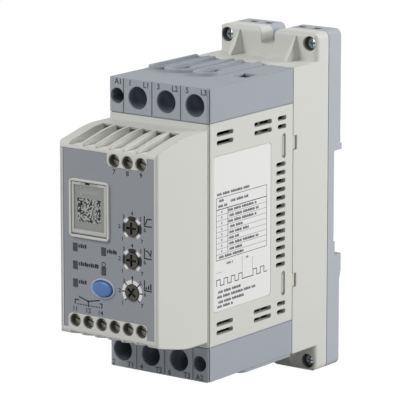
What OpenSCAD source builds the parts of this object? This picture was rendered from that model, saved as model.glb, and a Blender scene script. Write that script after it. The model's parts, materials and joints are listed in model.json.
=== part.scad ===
// Soft starter for a small motor, on a 35 mm rail.
// Front faces -Y, right side +X, up +Z, millimetres.
// The origin is on the rail seat, at mid width and mid height.

/* [Body] */
// Width of the whole device
body_width = 45; // [44.6:0.1:54]
// Height of the terminal section
body_height = 109.2; // [108:0.2:116]
// Height of the rear bracket with its two flanges
bracket_height = 131; // [128:0.5:146]
// Depth of the rear housing
rear_depth = 23.1; // [22:0.1:30]
// Depth of the middle housing
body_depth = 54.1; // [54:0.1:64]
// Depth of the front cover
cover_depth = 30.3; // [29.5:0.1:38]
// Wall of the housings
wall = 2; // [1.6:0.1:2.2]
// Radius of the upright front edges
edge_radius = 1; // [0.6:0.1:1.4]
// Gap between pieces that only lie close to each other
slack = 0.1; // [0.05:0.01:0.15]
// Gap between pieces that move past each other
free_gap = 0.3; // [0.25:0.05:0.4]

/* [Base and rail] */
// Plate left in front of the rail seat
seat_plate = 4.4; // [4.2:0.1:6]
// Depth of the rail slot
slot_depth = 4.1; // [3.8:0.1:5]
// Height of the rail that the slot takes
rail_height = 35; // [35:0.1:35.4]
// Thickness of the rail's rims
rail_rim = 1; // [1:0.1:1.2]
// Height of the slot's upper edge over the middle
slot_top = 19; // [17:0.5:21]
// How far the lips stand out behind the plate
lip_out = 1; // [0.6:0.1:1.5]
// Height of the upper lip
lip_height = 2.3; // [2:0.1:3]
// How far hooks and nose reach over the rail's rims
hook_reach = 2.2; // [1.6:0.1:2.6]
// Width of each fixed hook
hook_width = 8; // [6:0.5:10]
// Radius of the plate's corners
bracket_corner = 2.5; // [2:0.1:3.5]
// Width of the open screw notches
notch_width = 6.2; // [5.6:0.1:6.8]
// Depth of the open screw notches
notch_depth = 6.1; // [5:0.1:6.4]
// Radius of the notches' inner corners
notch_corner = 1.4; // [1:0.1:2]
// Width of the rail clip
clip_width = 18; // [16:0.5:20]
// Travel of the rail clip
clip_travel = 4.5; // [3.5:0.1:5]

/* [Rear housing] */
// Thickness of the flanges
flange_thickness = 7.8; // [7:0.1:9]
// Rounding of the flanges' outer edges
flange_round = 2; // [1.4:0.1:2.4]
// Distance of the flange screws from the side
flange_screw_side = 3.55; // [3.5:0.05:4]
// Distance of the flange screws from the end
flange_screw_end = 4; // [3.6:0.1:4.4]
// Radius of the flange screws' heads
flange_head_radius = 2.2; // [2:0.1:2.4]
// Gap round the flange screws' heads
head_gap = 0.6; // [0.4:0.05:0.8]
// Radius of the flange screws' shanks
flange_shank_radius = 1.5; // [1.3:0.1:1.6]
// Distance of the gusset ribs from the middle
gusset_side = 13; // [11:0.5:14]
// Thickness of the gusset ribs at their front edge
gusset_thickness = 1.8; // [1.2:0.1:2.4]
// Thickness of the gusset ribs where they meet flange and shelf
gusset_foot = 3.8; // [2.6:0.1:4.4]
// Thickness of the gusset ribs at their upper tip
gusset_tip = 0.6; // [0.4:0.1:1]
// Radius of the room for a washer in front of each notch
washer_radius = 8.3; // [7.8:0.1:8.8]
// Reach of the gusset ribs in front of the flange
gusset_reach = 7; // [6:0.1:9]

/* [Terminal blocks] */
// Height of a terminal block
block_height = 13.15; // [13:0.05:13.6]
// Distance of the first pole from the side
pole_side = 5.85; // [5.8:0.05:6]
// Radius of the power screw tunnels
pole_radius = 4.25; // [4.1:0.01:4.3]
// Distance of the supply terminal from the other side
supply_side = 3.8; // [3.75:0.05:4]
// Distance between the supply terminal and the nearest pole
supply_gap = 9.45; // [9.3:0.05:10]
// Radius of the supply screw tunnels
supply_radius = 2.95; // [2.7:0.05:3]
// Distance of the screw axes from the outer face
screw_drop = 6.7; // [6.6:0.05:6.9]
// Width of a power wire entry
entry_width = 6; // [5:0.1:6.2]
// Length of a power wire entry
entry_length = 7.6; // [7:0.1:8]
// Height of the rims round the wire entries
entry_rim = 1.2; // [0.4:0.1:1.6]
// Wall of the rims round the wire entries
entry_rim_wall = 1.8; // [0.8:0.1:2]

/* [Front cover] */
// Height of the cover's front face
cover_front_height = 70.8; // [70:0.2:71.6]
// Height of the cover at its back
cover_back_height = 78.6; // [78:0.2:80]
// How far the cover stands back from the sides
cover_inset = 0.3; // [0.2:0.05:0.4]
// Depth of the sloped ends
slope_depth = 17; // [16.5:0.1:18]
// Radius of the cover's front edges
cover_nose = 2.2; // [1.6:0.1:2.4]
// Radius of the bend behind the sloped ends
cover_bend = 50; // [30:1:60]
// Wall of the cover
cover_wall = 1.8; // [1.6:0.1:2]
// Distance between the control terminals
control_pitch = 6.02; // [5.9:0.01:6.1]
// Radius of the control screw holes
control_radius = 2.44; // [2.3:0.01:2.5]
// Height of the upper control screws over the middle
control_upper = 30.9; // [30.5:0.1:31]
// Drop of the lower control screws under the middle
control_lower = 30.2; // [30:0.1:31]
// Width of the wire funnels
funnel_width = 4.7; // [3.6:0.1:4.9]
// Depth of the wire funnels in the front edge
funnel_depth = 0.9; // [0.6:0.05:1]
// Reach of the wire funnels under the cover's roof
funnel_reach = 2; // [1.5:0.1:2.2]
// Roof over the inner ends of the wire funnels
funnel_lid = 0.9; // [0.7:0.1:1.2]
// Thickness of the front label
label_thickness = 0.3; // [0.2:0.05:0.4]

/* [Controls] */
// Distance of the knobs from the middle
knob_side = 11; // [10.5:0.1:11.5]
// Height of the upper knob over the middle
knob_upper = 7.34; // [7:0.1:8]
// Distance between the knobs
knob_pitch = 11.78; // [11.2:0.1:12]
// Radius of a knob
knob_radius = 2.95; // [2.6:0.05:3.2]
// How far the knobs stand out
knob_out = 0.5; // [0.3:0.1:0.9]
// Width of a lamp window
lamp_width = 2; // [1.8:0.1:2.2]
// Height of a lamp window
lamp_height = 3.05; // [2.8:0.05:3.2]
// Distance between the rows of lamp windows
lamp_pitch = 6.65; // [6.4:0.05:6.8]
// Half length of the oval reset button
button_long = 4.4; // [4:0.1:4.8]
// Half height of the oval reset button
button_short = 2.85; // [2.6:0.05:3.1]
// How far the reset button stands out
button_out = 1.7; // [1.2:0.1:2]
// Width of the port door
door_width = 15.7; // [14:0.1:16]
// Height of the port door over its hinge
door_height = 18.4; // [17:0.1:18.8]
// Thickness of the port door
door_thickness = 1.5; // [1.3:0.1:1.6]
// How far the frame of the door stands out
frame_out = 0.7; // [0.5:0.1:0.9]

/* [Vents and side label] */
// Height of a vent slot
vent_height = 1.7; // [1.4:0.1:2]
// Distance between vent slots
vent_pitch = 3.185; // [2.9:0.005:3.3]
// Length of the side label
side_label_length = 36; // [30:0.5:36]
// Height of the side label
side_label_height = 57.8; // [50:0.2:58]

/* [Inside] */
// Thickness of the boards
board_thickness = 1.6; // [1.2:0.1:1.6]
// Height of the relays over their board
relay_height = 20; // [16:0.5:22]
// Thickness of the thyristor modules
module_thickness = 8; // [6:0.5:8]
// Thickness of the heatsink's plate
sink_plate = 4; // [3:0.5:5]
// Thickness of a heatsink fin
fin_thickness = 1.4; // [1:0.1:2]
// Thickness of the power bars
bar_thickness = 1.4; // [1:0.1:1.6]
// Width of the power bars
bar_width = 5.6; // [4:0.2:6]

/* [Hidden] */
$fn = 48;
white = [0.86, 0.855, 0.83];
grey = [0.62, 0.64, 0.67];
label_grey = [0.47, 0.48, 0.5];
dark = [0.2, 0.19, 0.18];
blue = [0.15, 0.36, 0.66];
zinc = [0.75, 0.77, 0.8];
copper = [0.78, 0.48, 0.32];
brass = [0.78, 0.66, 0.36];
green = [0.1, 0.33, 0.2];
black = [0.1, 0.1, 0.11];
metal = [0.7, 0.71, 0.73];
clear = [0.25, 0.27, 0.26];

half_width = body_width / 2;
half_height = body_height / 2;
bracket_half = bracket_height / 2;
room = half_width - wall;

// Depth stations, from the back to the front
back = slot_depth;
lip_back = back + lip_out;
base_front = -seat_plate;
flange_front = base_front - flange_thickness;
rear_front = base_front - rear_depth;
body_front = rear_front - body_depth;
cover_front = body_front - cover_depth;
cover_inner = cover_front + cover_wall;
slope_back = cover_front + slope_depth;
funnel_back = slope_back + 3.7;
shelf_half = half_height + 0.4;

// Rail slot and clip
slot_gap = 0.4;
slot_bottom = slot_top - rail_height - slot_gap;
hook_front = rail_rim + slot_gap;
hook_place = 10.5;
hook_core = 1.2;
step_floor = 0.9;
pocket_depth = 5;
step_bottom = slot_bottom - 5.3;
foot_bottom = step_bottom - 6.9;
foot_end = foot_bottom - 3.3;
clip_half = clip_width / 2;
clip_neck = clip_half - 2;
clip_front = -1.2;
clip_flange = clip_front + 1.8;
clip_back = back - 0.2;
clip_top = slot_bottom - 0.7;
clip_bottom = clip_top - 36;
nose_top = slot_bottom + slot_gap / 2 + hook_reach;
channel_floor = clip_front - free_gap;
channel_end = clip_bottom - clip_travel - 0.6;
window_half = 3.2;
window_top = clip_top - 7;
window_bottom = window_top - 19.3;
post_bottom = window_bottom + free_gap;
post_top = post_bottom + 3.6;
spring_radius = 1.85;
spring_wire = 0.42;
spring_turns = 7;
spring_depth = (clip_front + clip_back) / 2;

// Flange screws
screw_x = half_width - flange_screw_side;
screw_z = bracket_half - flange_screw_end;
head_top = flange_front + 3.2;
head_bottom = head_top + 2.1;
shank_end = back - 1.5;

// Terminal blocks
block_low = half_height - block_height;
screw_level = half_height - screw_drop;
pole_pitch = (body_width - pole_side - supply_side - supply_gap) / 2;
poles = [for (i = [0:2]) half_width - pole_side - i * pole_pitch];
supply_x = supply_side - half_width;
cage_half = pole_radius;
cage_room = cage_half + slack;
supply_cage_half = supply_radius - 0.4;
supply_room = supply_cage_half + slack;
supply_entry = supply_cage_half * 1.5;
rim_gap = 0.5;
supply_rim_wall = supply_side - supply_entry / 2 - rim_gap - 0.3;
entry_back = rear_front - 19;
entry_front = entry_back - entry_length;
bar_back = entry_back + bar_thickness + 0.1;
cage_back = bar_back + 1.5;
cage_front = entry_front - 4.3;
cage_wall = 2.4;
tunnel_end = cage_front - 1.4;
chamber_back = cage_back + 2;
chamber_top = screw_level + cage_half + 0.2;
groove_side = 1.2;
seam_width = 0.7;
joint_line = 0.4;

// Boards and what they carry
board_front = rear_front - 11.1;
board_back = board_front + board_thickness;
board_half = room - 0.3;
board_height = block_low - 1;
sink_front = board_back + 5 + module_thickness;
sink_back = sink_front + sink_plate;
sink_half = room - 0.7;
relay_front = board_front - relay_height;
relay_side = 1;
bar_foot = board_height - 8.5;
ring_gap = 1.35;
can_radius = 4;
can_pitch = 2 * can_radius + 1.2;
can_side = room - can_radius - 0.9;

// Control board and what it carries
control_front = cover_front + 20.3;
control_back = control_front + board_thickness;
cover_half = half_width - cover_inset;
cover_room = cover_half - cover_wall;
front_half = cover_front_height / 2;
cover_end = cover_back_height / 2;
funnel_floor = front_half - funnel_depth;
funnel_roof = 1;
front_room = funnel_floor - funnel_roof;
back_room = cover_end - cover_wall;
room_step = funnel_back + funnel_reach + funnel_roof;
control_board_half = front_room - 0.4;
controls = [for (i = [0:5]) (i - 2.5) * control_pitch];
control_wire = control_front - 4.4;
clamp_half = 1.8;
clamp_room = clamp_half + slack;
clamp_front = control_front - 8.4;
control_head = cover_front + 2.2;
collar_front = cover_front + 0.5;
control_bore = control_radius - 0.35;
control_head_radius = control_bore - 0.15;

// Front face
strip_upper = control_upper - control_radius;
strip_lower = control_lower - control_radius - 0.35;
strip_left = control_radius + 0.9;
strip_right = control_radius + 0.3;
strip_corner = 2;
label_left = 1.2 - cover_half;
label_right = cover_half - 1.5;
label_low = 2.5 - front_half;
label_high = front_half - 2.2;
knobs = [for (i = [0:2]) knob_upper - i * knob_pitch];
knob_hole = knob_radius + 0.1;
pot_front = control_front - 5.4;
stem_radius = 1.5;
stem_end = pot_front + 2;
left_lamp = -14.9;
right_lamp = -1.92;
lamp_top = -3;
lamps = [[left_lamp, lamp_top], [left_lamp, lamp_top - lamp_pitch], [left_lamp, lamp_top - 2 * lamp_pitch],
         [right_lamp, lamp_top], [right_lamp, lamp_top - lamp_pitch - 0.6]];
button_x = -2.1;
button_z = lamp_top - 2 * lamp_pitch - 0.35;
button_gap = 0.25;
button_travel = 0.8;
switch_front = control_front - 3.6;

// Port door
door_x = -8.05;
hinge_z = 3;
knuckle = 0.8;
door_front = cover_front - frame_out + 0.2;
hinge_y = door_front + knuckle;
pin_radius = 0.45;
pin_hole = pin_radius + 0.05;
door_top = hinge_z + door_height;
port_left = door_x - door_width / 2 - free_gap;
port_right = door_x + door_width / 2 + free_gap;
port_low = hinge_z - knuckle - free_gap;
port_high = door_top + free_gap;
frame_rim = 0.9;
door_rim = 1;
panel_front = door_front + 0.3;
scoop_radius = 4;
scoop_depth = 0.4;

// Side walls
vent_row = 35.4;
seam_front = body_front + 0.6;
label_front = body_front + 3.6;

// Box between two corners.
module box(x0, x1, y0, y1, z0, z1) {
    translate([x0, y0, z0])
        cube([x1 - x0, y1 - y0, z1 - z0]);
}

// Round bar along Y.
module rod(x, z, radius, y0, y1) {
    translate([x, y0, z])
        rotate([-90, 0, 0])
            cylinder(r = radius, h = y1 - y0);
}

// Drawing in X and Z, made solid along Y.
module front_plate(y0, y1) {
    translate([0, y1, 0])
        rotate([90, 0, 0])
            linear_extrude(height = y1 - y0)
                children();
}

// Drawing in Y and Z, made solid along X.
module side_plate(x0, x1) {
    translate([x0, 0, 0])
        rotate([90, 0, 90])
            linear_extrude(height = x1 - x0)
                children();
}

// Rectangle with round corners, drawn flat.
module round_rect(x0, x1, z0, z1, radius) {
    translate([x0 + radius, z0])
        square([x1 - x0 - 2 * radius, z1 - z0]);
    translate([x0, z0 + radius])
        square([x1 - x0, z1 - z0 - 2 * radius]);
    for (x = [x0 + radius, x1 - radius], z = [z0 + radius, z1 - radius])
        translate([x, z])
            circle(r = radius);
}

// Slot with round ends, drawn flat and lying along the first axis.
module slot(length, height) {
    square([length - height, height], center = true);
    for (side = [-1, 1])
        translate([side * (length - height) / 2, 0])
            circle(d = height);
}

// Oval drawn flat: the cosine and sine of one turn, each times its half length.
module oval(long, short) {
    polygon([for (i = [0:71]) [long * cos(i * 5), short * sin(i * 5)]]);
}

// Copies what follows to the other end, turned half round about Y.
module both_ends() {
    children();
    rotate([0, 180, 0])
        children();
}

// Plan of a housing with round front edges, drawn flat in X and Y.
module plan(half, front, rear, radius) {
    translate([-half, front + radius])
        square([2 * half, rear - front - radius]);
    translate([radius - half, front])
        square([2 * (half - radius), rear - front]);
    for (side = [-1, 1])
        translate([side * (half - radius), front + radius])
            circle(r = radius);
}

// Outline of base plate and flanges with the open screw notches.
module bracket_outline() {
    notch_half = notch_width / 2;
    flare = 2.2;
    difference() {
        round_rect(-half_width, half_width, -bracket_half, bracket_half, bracket_corner);
        for (end = [0, 180])
            rotate(end) {
                round_rect(-notch_half, notch_half, bracket_half - notch_depth,
                           bracket_half + notch_depth, notch_corner);
                for (side = [0, 1])
                    mirror([side, 0])
                        translate([notch_half, bracket_half - flare])
                            difference() {
                                square([flare, flare + 1]);
                                translate([flare, 0])
                                    circle(r = flare);
                            }
            }
    }
}

// Four holes or pegs at the flange screws.
module at_flange_screws(radius, y0, y1) {
    for (x = [-screw_x, screw_x], z = [-screw_z, screw_z])
        rod(x, z, radius, y0, y1);
}

module rear_base() {
    core_depth = 5.4;
    core_front = back - core_depth;
    color(grey)
    union() {
        difference() {
            union() {
                front_plate(base_front, back)
                    bracket_outline();
                box(-half_width, half_width, back - 1, lip_back, slot_top, slot_top + lip_height);
                side_plate(-half_width, half_width)
                    polygon([[back - 1, step_bottom], [lip_back, step_bottom], [lip_back, foot_bottom],
                             [back, foot_end], [back - 1, foot_end]]);
            }
            box(-half_width - 1, half_width + 1, 0, lip_back + 1, slot_bottom, slot_top);
            box(-half_width - 1, half_width + 1, step_floor, lip_back + 1, step_bottom, slot_bottom + 1);
            base_joint();
            clip_channel();
            for (x = [-hook_place, hook_place])
                box(x - hook_width / 2 - free_gap, x + hook_width / 2 + free_gap, -hook_core, 1,
                    slot_top - hook_reach - free_gap, slot_top);
            at_flange_screws(flange_shank_radius + slack / 2, base_front - 1, shank_end + 0.6);
            for (x = [-14.7, -7.8, 7.8, 14.7], end = [0, 180])
                rotate([0, end, 0])
                    box(x - 1.75, x + 1.75, -2, 1, bracket_half - pocket_depth, bracket_half + 1);
            for (x = [-1, 1], z = [slot_top + 6, slot_top + 21])
                box(x * (half_width / 2 - 0.4) - 8.6, x * (half_width / 2 - 0.4) + 8.6,
                    core_front, lip_back, z, z + 12.5);
            for (side = [0, 180])
                rotate([0, 0, side])
                    mirror([0, side / 180, 0])
                        box(clip_half + 2.5, half_width - 3, core_front, lip_back + 1,
                            -bracket_half + 11, foot_end - 2);
        }
        for (x = [-hook_place, hook_place])
            rail_hook(x);
        box(-window_half + 0.6, window_half - 0.6, channel_floor - 1, clip_back - 0.9, post_bottom, post_top);
    }
}

// Shadow line round the plate's front edge, where it meets the rear housing.
module base_joint() {
    front_plate(base_front - 1, base_front + joint_line)
        difference() {
            square([body_width + 2, bracket_height + 2], center = true);
            round_rect(joint_line - half_width, half_width - joint_line,
                       joint_line - bracket_half, bracket_half - joint_line, bracket_corner - joint_line);
        }
}

// Hook over the upper rim of the rail.
module rail_hook(x) {
    side_plate(x - hook_width / 2, x + hook_width / 2)
        polygon([[hook_front, slot_top + 1], [hook_front, slot_top - hook_reach],
                 [hook_front + 1.4, slot_top - hook_reach], [lip_back, slot_top - 0.6],
                 [lip_back, slot_top + 1]]);
}

// Channel of the rail clip: wide in front, narrow behind, open to the lower notch.
module clip_channel() {
    ledge = clip_flange + free_gap;
    box(-clip_half - free_gap, clip_half + free_gap, channel_floor, ledge, channel_end, nose_top + free_gap);
    box(-clip_neck - free_gap, clip_neck + free_gap, channel_floor, lip_back + 1,
        channel_end, nose_top + free_gap);
    box(-notch_width / 2, notch_width / 2, step_floor, lip_back + 1, -bracket_half - 1, channel_end + 1);
}

module rail_clip() {
    color(dark)
    difference() {
        union() {
            box(-clip_half, clip_half, clip_front, clip_flange, clip_bottom, clip_top);
            box(-clip_neck, clip_neck, clip_front, clip_back, clip_bottom, clip_top);
            side_plate(-clip_neck, clip_neck)
                polygon([[hook_front, clip_top - 1], [hook_front, nose_top], [hook_front + 0.9, nose_top],
                         [clip_back, nose_top - 2.2], [clip_back, clip_top - 1]]);
        }
        box(-window_half, window_half, clip_front - 1, clip_back + 1, window_bottom, window_top);
        box(-3, 3, clip_front - 1, clip_back + 1, clip_bottom + 2.2, clip_bottom + 4.6);
    }
}

// Coil of round wire: a ring of points carried round and up a helix.
module rail_clip_spring() {
    steps = spring_turns * 14;
    sides = 8;
    low = post_top + spring_wire;
    rise = window_top - spring_wire - low;
    points = [for (i = [0:steps], j = [0:sides - 1])
        let (turn = i / steps * spring_turns * 360, lean = j * 360 / sides,
             out = spring_radius + spring_wire * cos(lean))
        [out * cos(turn), spring_depth + out * sin(turn), low + rise * i / steps + spring_wire * sin(lean)]];
    skin = [for (i = [0:steps - 1], j = [0:sides - 1])
        let (a = i * sides + j, b = i * sides + (j + 1) % sides)
        [a, a + sides, b + sides, b]];
    ends = [[for (j = [0:sides - 1]) j], [for (j = [0:sides - 1]) (steps + 1) * sides - 1 - j]];
    color(zinc)
        polyhedron(points = points, faces = concat(skin, ends), convexity = 10);
}

// One flange with round outer edges; the lower one is the same, turned.
module flange() {
    low = half_height - 1;
    intersection() {
        front_plate(flange_front, base_front)
            bracket_outline();
        linear_extrude(height = bracket_half)
            plan(half_width, flange_front, base_front, flange_round);
        side_plate(-half_width, half_width)
            intersection() {
                translate([flange_front, low])
                    square([flange_thickness, bracket_half - low]);
                union() {
                    translate([flange_front, low])
                        square([flange_thickness, bracket_half - low - flange_round]);
                    translate([flange_front + flange_round, low])
                        square([flange_thickness, bracket_half - low]);
                    translate([flange_front + flange_round, bracket_half - flange_round])
                        circle(r = flange_round);
                }
            }
    }
}

// Tapered rib between a flange and the shelf in front of it: the shape that its side view,
// its front view and its plan have in common.
module gusset(x) {
    low = shelf_half - 1;
    high = bracket_half - 1.5;
    inner = flange_front + 1;
    outer = flange_front - gusset_reach;
    half_foot = gusset_foot / 2;
    intersection() {
        side_plate(x - half_foot, x + half_foot)
            polygon([[inner, low], [outer, low], [outer, shelf_half + 0.4], [flange_front - 0.4, high],
                     [inner, high]]);
        front_plate(outer, inner)
            taper(x, low, high, gusset_foot, gusset_tip);
        translate([0, 0, low])
            linear_extrude(height = high - low)
                taper(x, outer, inner, gusset_thickness, gusset_foot);
    }
}

// Flat shape whose width changes from one end to the other.
module taper(x, start, end, start_width, end_width) {
    polygon([[x - start_width / 2, start], [x + start_width / 2, start],
             [x + end_width / 2, end], [x - end_width / 2, end]]);
}

module rear_housing() {
    notch_level = bracket_half - notch_depth + notch_width / 2;
    color(white)
    difference() {
        union() {
            box(-half_width, half_width, rear_front, base_front, -shelf_half, shelf_half);
            both_ends() {
                flange();
                gusset(-gusset_side);
                gusset(gusset_side);
            }
        }
        box(-room, room, rear_front - 1, base_front + 1, -half_height + wall, half_height - wall);
        for (end = [-1, 1])
            rod(0, end * notch_level, washer_radius, flange_front - 6.5, flange_front);
        at_flange_screws(flange_head_radius + head_gap, flange_front - 1, head_bottom);
        at_flange_screws(flange_shank_radius + slack / 2, flange_front, base_front + 1);
        for (z = [-26.4, 26.4])
            box(-half_width - 1, half_width + 1, rear_front - 1, rear_front + 2.4, z - 2.7, z + 2.7);
    }
}

// Cross-recess screw along Y, head in front.
module cross_screw(x, z, head_radius, radius, y0, y1, y2) {
    recess = head_radius * 1.15;
    difference() {
        union() {
            rod(x, z, head_radius, y0, y1);
            rod(x, z, radius, y0 + 0.1, y2);
        }
        for (turn = [45, 135])
            translate([x, y0, z])
                rotate([0, turn, 0])
                    cube([recess, 2.2, head_radius * 0.3], center = true);
    }
}

module base_screws() {
    color(zinc)
    for (x = [-screw_x, screw_x], z = [-screw_z, screw_z])
        cross_screw(x, z, flange_head_radius, flange_shank_radius, head_top, head_bottom, shank_end);
}

// Vent slots of one side wall, drawn flat in Y and Z.
module vents() {
    for (end = [-1, 1], row = [-0.5, 0.5])
        translate([0, end * vent_row + row * vent_pitch]) {
            translate([rear_front - 43.6, 0])
                slot(10.4, vent_height);
            translate([rear_front - 19.6, 0])
                slot(11.2, vent_height);
            translate([rear_front - 7.4, 0])
                slot(5.5, vent_height);
        }
    for (i = [-6:6])
        translate([rear_front - 8, i * vent_pitch + 0.44])
            slot(6, vent_height);
}

module main_housing() {
    color(white)
    union() {
        difference() {
            translate([0, 0, -block_low])
                linear_extrude(height = 2 * block_low)
                    plan(half_width, body_front, rear_front, edge_radius);
            box(-room, room, body_front + wall, rear_front + 1, -block_low - 1, block_low + 1);
            box(-14, 14, body_front - 1, body_front + wall + 1, -30, 30);
            side_plate(-half_width - 1, half_width + 1)
                vents();
            for (side = [-1, 1])
                wall_marks(side);
            side_plate(half_width - label_thickness, half_width + 1)
                side_label_outline(slack);
        }
        for (side = [-1, 1], z = [-26.4, 26.4])
            box(side * (half_width - 1.3) - 0.7, side * (half_width - 1.3) + 0.7,
                rear_front - 1, rear_front + 2.1, z - 2.5, z + 2.5);
    }
}

// Seam groove and latch grooves of one side wall.
module wall_marks(side) {
    groove_front = rear_front - 6.9;
    groove_width = 1.9;
    x = side * half_width;
    box(x - groove_side, x + groove_side, seam_front, seam_front + seam_width,
        -half_height - 1, half_height + 1);
    box(x - joint_line, x + joint_line, rear_front - joint_line, rear_front + 1,
        -half_height - 1, half_height + 1);
    for (end = [-1, 1]) {
        box(x - 0.5, x + 0.5, groove_front, groove_front + groove_width, end * 26.3 - 4.2, end * 26.3 + 4.2);
        for (tip = [-4.2, 4.2])
            translate([x - 1.1, groove_front + groove_width / 2, end * 26.3 + tip])
                rotate([0, 90, 0])
                    cylinder(r = 0.6, h = 2.2);
    }
}

// Outline of the side label, drawn flat in Y and Z.
module side_label_outline(gap) {
    round_rect(label_front - gap, label_front + side_label_length + gap,
               -side_label_height / 2 - gap, side_label_height / 2 + gap, 1.5);
}

module side_label() {
    color(white)
    side_plate(half_width - label_thickness, half_width - 0.05)
        side_label_outline(0);
}

// Terminal block as it stands on top; the lower one is the same, turned.
module terminal_block() {
    difference() {
        union() {
            translate([0, 0, block_low])
                linear_extrude(height = block_height)
                    plan(half_width, body_front, rear_front, edge_radius);
            entry_rim(poles[1], entry_width, entry_rim_wall);
            entry_rim(poles[2], entry_width, entry_rim_wall);
            entry_rim(supply_x, supply_entry, supply_rim_wall);
        }
        for (x = poles) {
            rod(x, screw_level, pole_radius, body_front - 1, tunnel_end + 1);
            box(x - cage_room, x + cage_room, tunnel_end, chamber_back, block_low - 1, chamber_top);
            wire_entry(x, entry_width);
            pole_divider(x - pole_pitch / 2);
        }
        rod(supply_x, screw_level, supply_radius, body_front - 1, tunnel_end + 1);
        box(supply_x - supply_room, supply_x + supply_room, tunnel_end, chamber_back,
            block_low - 1, chamber_top);
        wire_entry(supply_x, supply_entry);
        box(-room, room, chamber_back + wall, rear_front - wall, block_low - 1, chamber_top);
        for (side = [-1, 1])
            wall_marks(side);
        block_joint();
    }
}

// Shadow line round a block's foot, where it stands on the main housing.
module block_joint() {
    translate([0, 0, block_low - 1])
        linear_extrude(height = 1 + joint_line)
            difference() {
                translate([-half_width - 1, body_front - 1])
                    square([body_width + 2, body_depth + 2]);
                plan(half_width - joint_line, body_front + joint_line, rear_front + 2, edge_radius);
            }
}

// Wire entry through the roof.
module wire_entry(x, width) {
    box(x - width / 2, x + width / 2, entry_front, entry_back, chamber_top - 1, half_height + 1);
}

// Raised rim round a wire entry, round in front and open at the back.
module entry_rim(x, width, rim_wall) {
    inner = width / 2 + rim_gap;
    outer = inner + rim_wall;
    bend = entry_front - 2.5;
    tail = rear_front - 2 * joint_line;
    translate([x, 0, half_height - 0.5])
        linear_extrude(height = entry_rim + 0.5)
            difference() {
                union() {
                    translate([0, bend])
                        circle(r = outer);
                    translate([-outer, bend])
                        square([2 * outer, tail - bend]);
                }
                translate([0, bend])
                    circle(r = inner);
                translate([-inner, bend])
                    square([2 * inner, tail - bend + 1]);
            }
}

// Line between two poles on the front face.
module pole_divider(x) {
    box(x - 0.2, x + 0.2, body_front - 1, body_front + 0.5, block_low - 1, half_height + 1);
}

module upper_terminal_block() {
    color(grey)
        terminal_block();
}

module lower_terminal_block() {
    color(grey)
    rotate([0, 180, 0])
        terminal_block();
}

// Side view of the cover: flat at the back, a bend, the slope and a round front edge.
module cover_outline() {
    slope = atan((cover_end - front_half) / slope_depth);
    reach = cover_bend * tan(slope / 2);
    nose_level = front_half + cover_nose * (sin(slope) - 1) / cos(slope);
    upper = concat(
        [[body_front, cover_end]],
        [for (i = [0:8]) [slope_back + reach - cover_bend * sin(slope * i / 8),
                          cover_end - cover_bend + cover_bend * cos(slope * i / 8)]],
        [for (i = [0:6]) let (turn = 90 + slope + i * (90 - slope) / 6)
            [cover_front + cover_nose + cover_nose * cos(turn), nose_level + cover_nose * sin(turn)]]);
    count = len(upper);
    lower = [for (i = [0:count - 1]) [upper[count - 1 - i][0], -upper[count - 1 - i][1]]];
    polygon(concat(upper, lower));
}

// Shape of the label plate, drawn flat in X and Z; the gap widens it all round.
module label_outline(gap) {
    difference() {
        translate([label_left - gap, label_low - gap])
            square([label_right - label_left + 2 * gap, label_high - label_low + 2 * gap]);
        round_rect(controls[3] - strip_left + gap, controls[5] + strip_right - gap,
                   strip_upper + gap, label_high + 9, strip_corner);
        round_rect(controls[0] - strip_left + gap, controls[5] + strip_right - gap,
                   label_low - 9, -strip_lower - gap, strip_corner);
    }
}

// Holes that the front wall and the label share, drawn flat in X and Z.
module control_holes(gap) {
    for (z = knobs)
        translate([knob_side, z])
            circle(r = knob_hole + gap);
    for (place = lamps)
        translate(place)
            square([lamp_width + 2 * gap, lamp_height + 2 * gap], center = true);
    translate([button_x, button_z])
        oval(button_long + button_gap + gap, button_short + button_gap + gap);
}

// Wire funnel over one control terminal, at the upper end.
module funnel(x) {
    half = funnel_width / 2;
    box(x - half, x + half, cover_front - 1, funnel_back, funnel_floor, cover_end + 1);
    box(x - half, x + half, funnel_back - 1, funnel_back + funnel_reach,
        funnel_floor, cover_end - funnel_lid);
    translate([x, control_wire, front_room - 1])
        cylinder(r = 1.3, h = 4);
}

module front_cover() {
    color(white)
    difference() {
        union() {
            intersection() {
                side_plate(-cover_half, cover_half)
                    cover_outline();
                translate([0, 0, -cover_end])
                    linear_extrude(height = 2 * cover_end)
                        plan(cover_half, cover_front, body_front, 1.2);
            }
            front_plate(cover_front - frame_out, cover_inner)
                round_rect(port_left - frame_rim, port_right + frame_rim,
                           port_low - frame_rim, port_high + frame_rim, 1.6);
        }
        box(-cover_room, cover_room, cover_inner, room_step, -front_room, front_room);
        box(-cover_room, cover_room, room_step - 0.1, body_front + 1, -back_room, back_room);
        front_plate(cover_front - 2, cover_front + label_thickness)
            difference() {
                label_outline(slack);
                round_rect(port_left - frame_rim, port_right + frame_rim,
                           port_low - frame_rim, port_high + frame_rim, 1.6);
            }
        front_plate(cover_front - 2, cover_inner + 1)
            control_holes(0);
        box(port_left, port_right, cover_front - 2, cover_inner + 1, port_low, port_high);
        translate([(port_left + port_right) / 2, hinge_y, hinge_z])
            rotate([0, 90, 0])
                cylinder(r = pin_hole, h = door_width + 2 * free_gap + 1.5, center = true);
        for (x = controls)
            rod(x, -control_lower, control_radius, cover_front - 1, cover_inner + 1);
        for (i = [3:5])
            rod(controls[i], control_upper, control_radius, cover_front - 1, cover_inner + 1);
        for (x = controls, end = [0, 180])
            rotate([0, end, 0])
                funnel(x);
    }
}

module front_label() {
    color(label_grey)
    front_plate(cover_front + 0.05, cover_front + label_thickness)
        difference() {
            label_outline(0);
            control_holes(slack);
            round_rect(port_left - frame_rim - slack, port_right + frame_rim + slack,
                       port_low - frame_rim - slack, port_high + frame_rim + slack, 1.6);
        }
}

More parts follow.
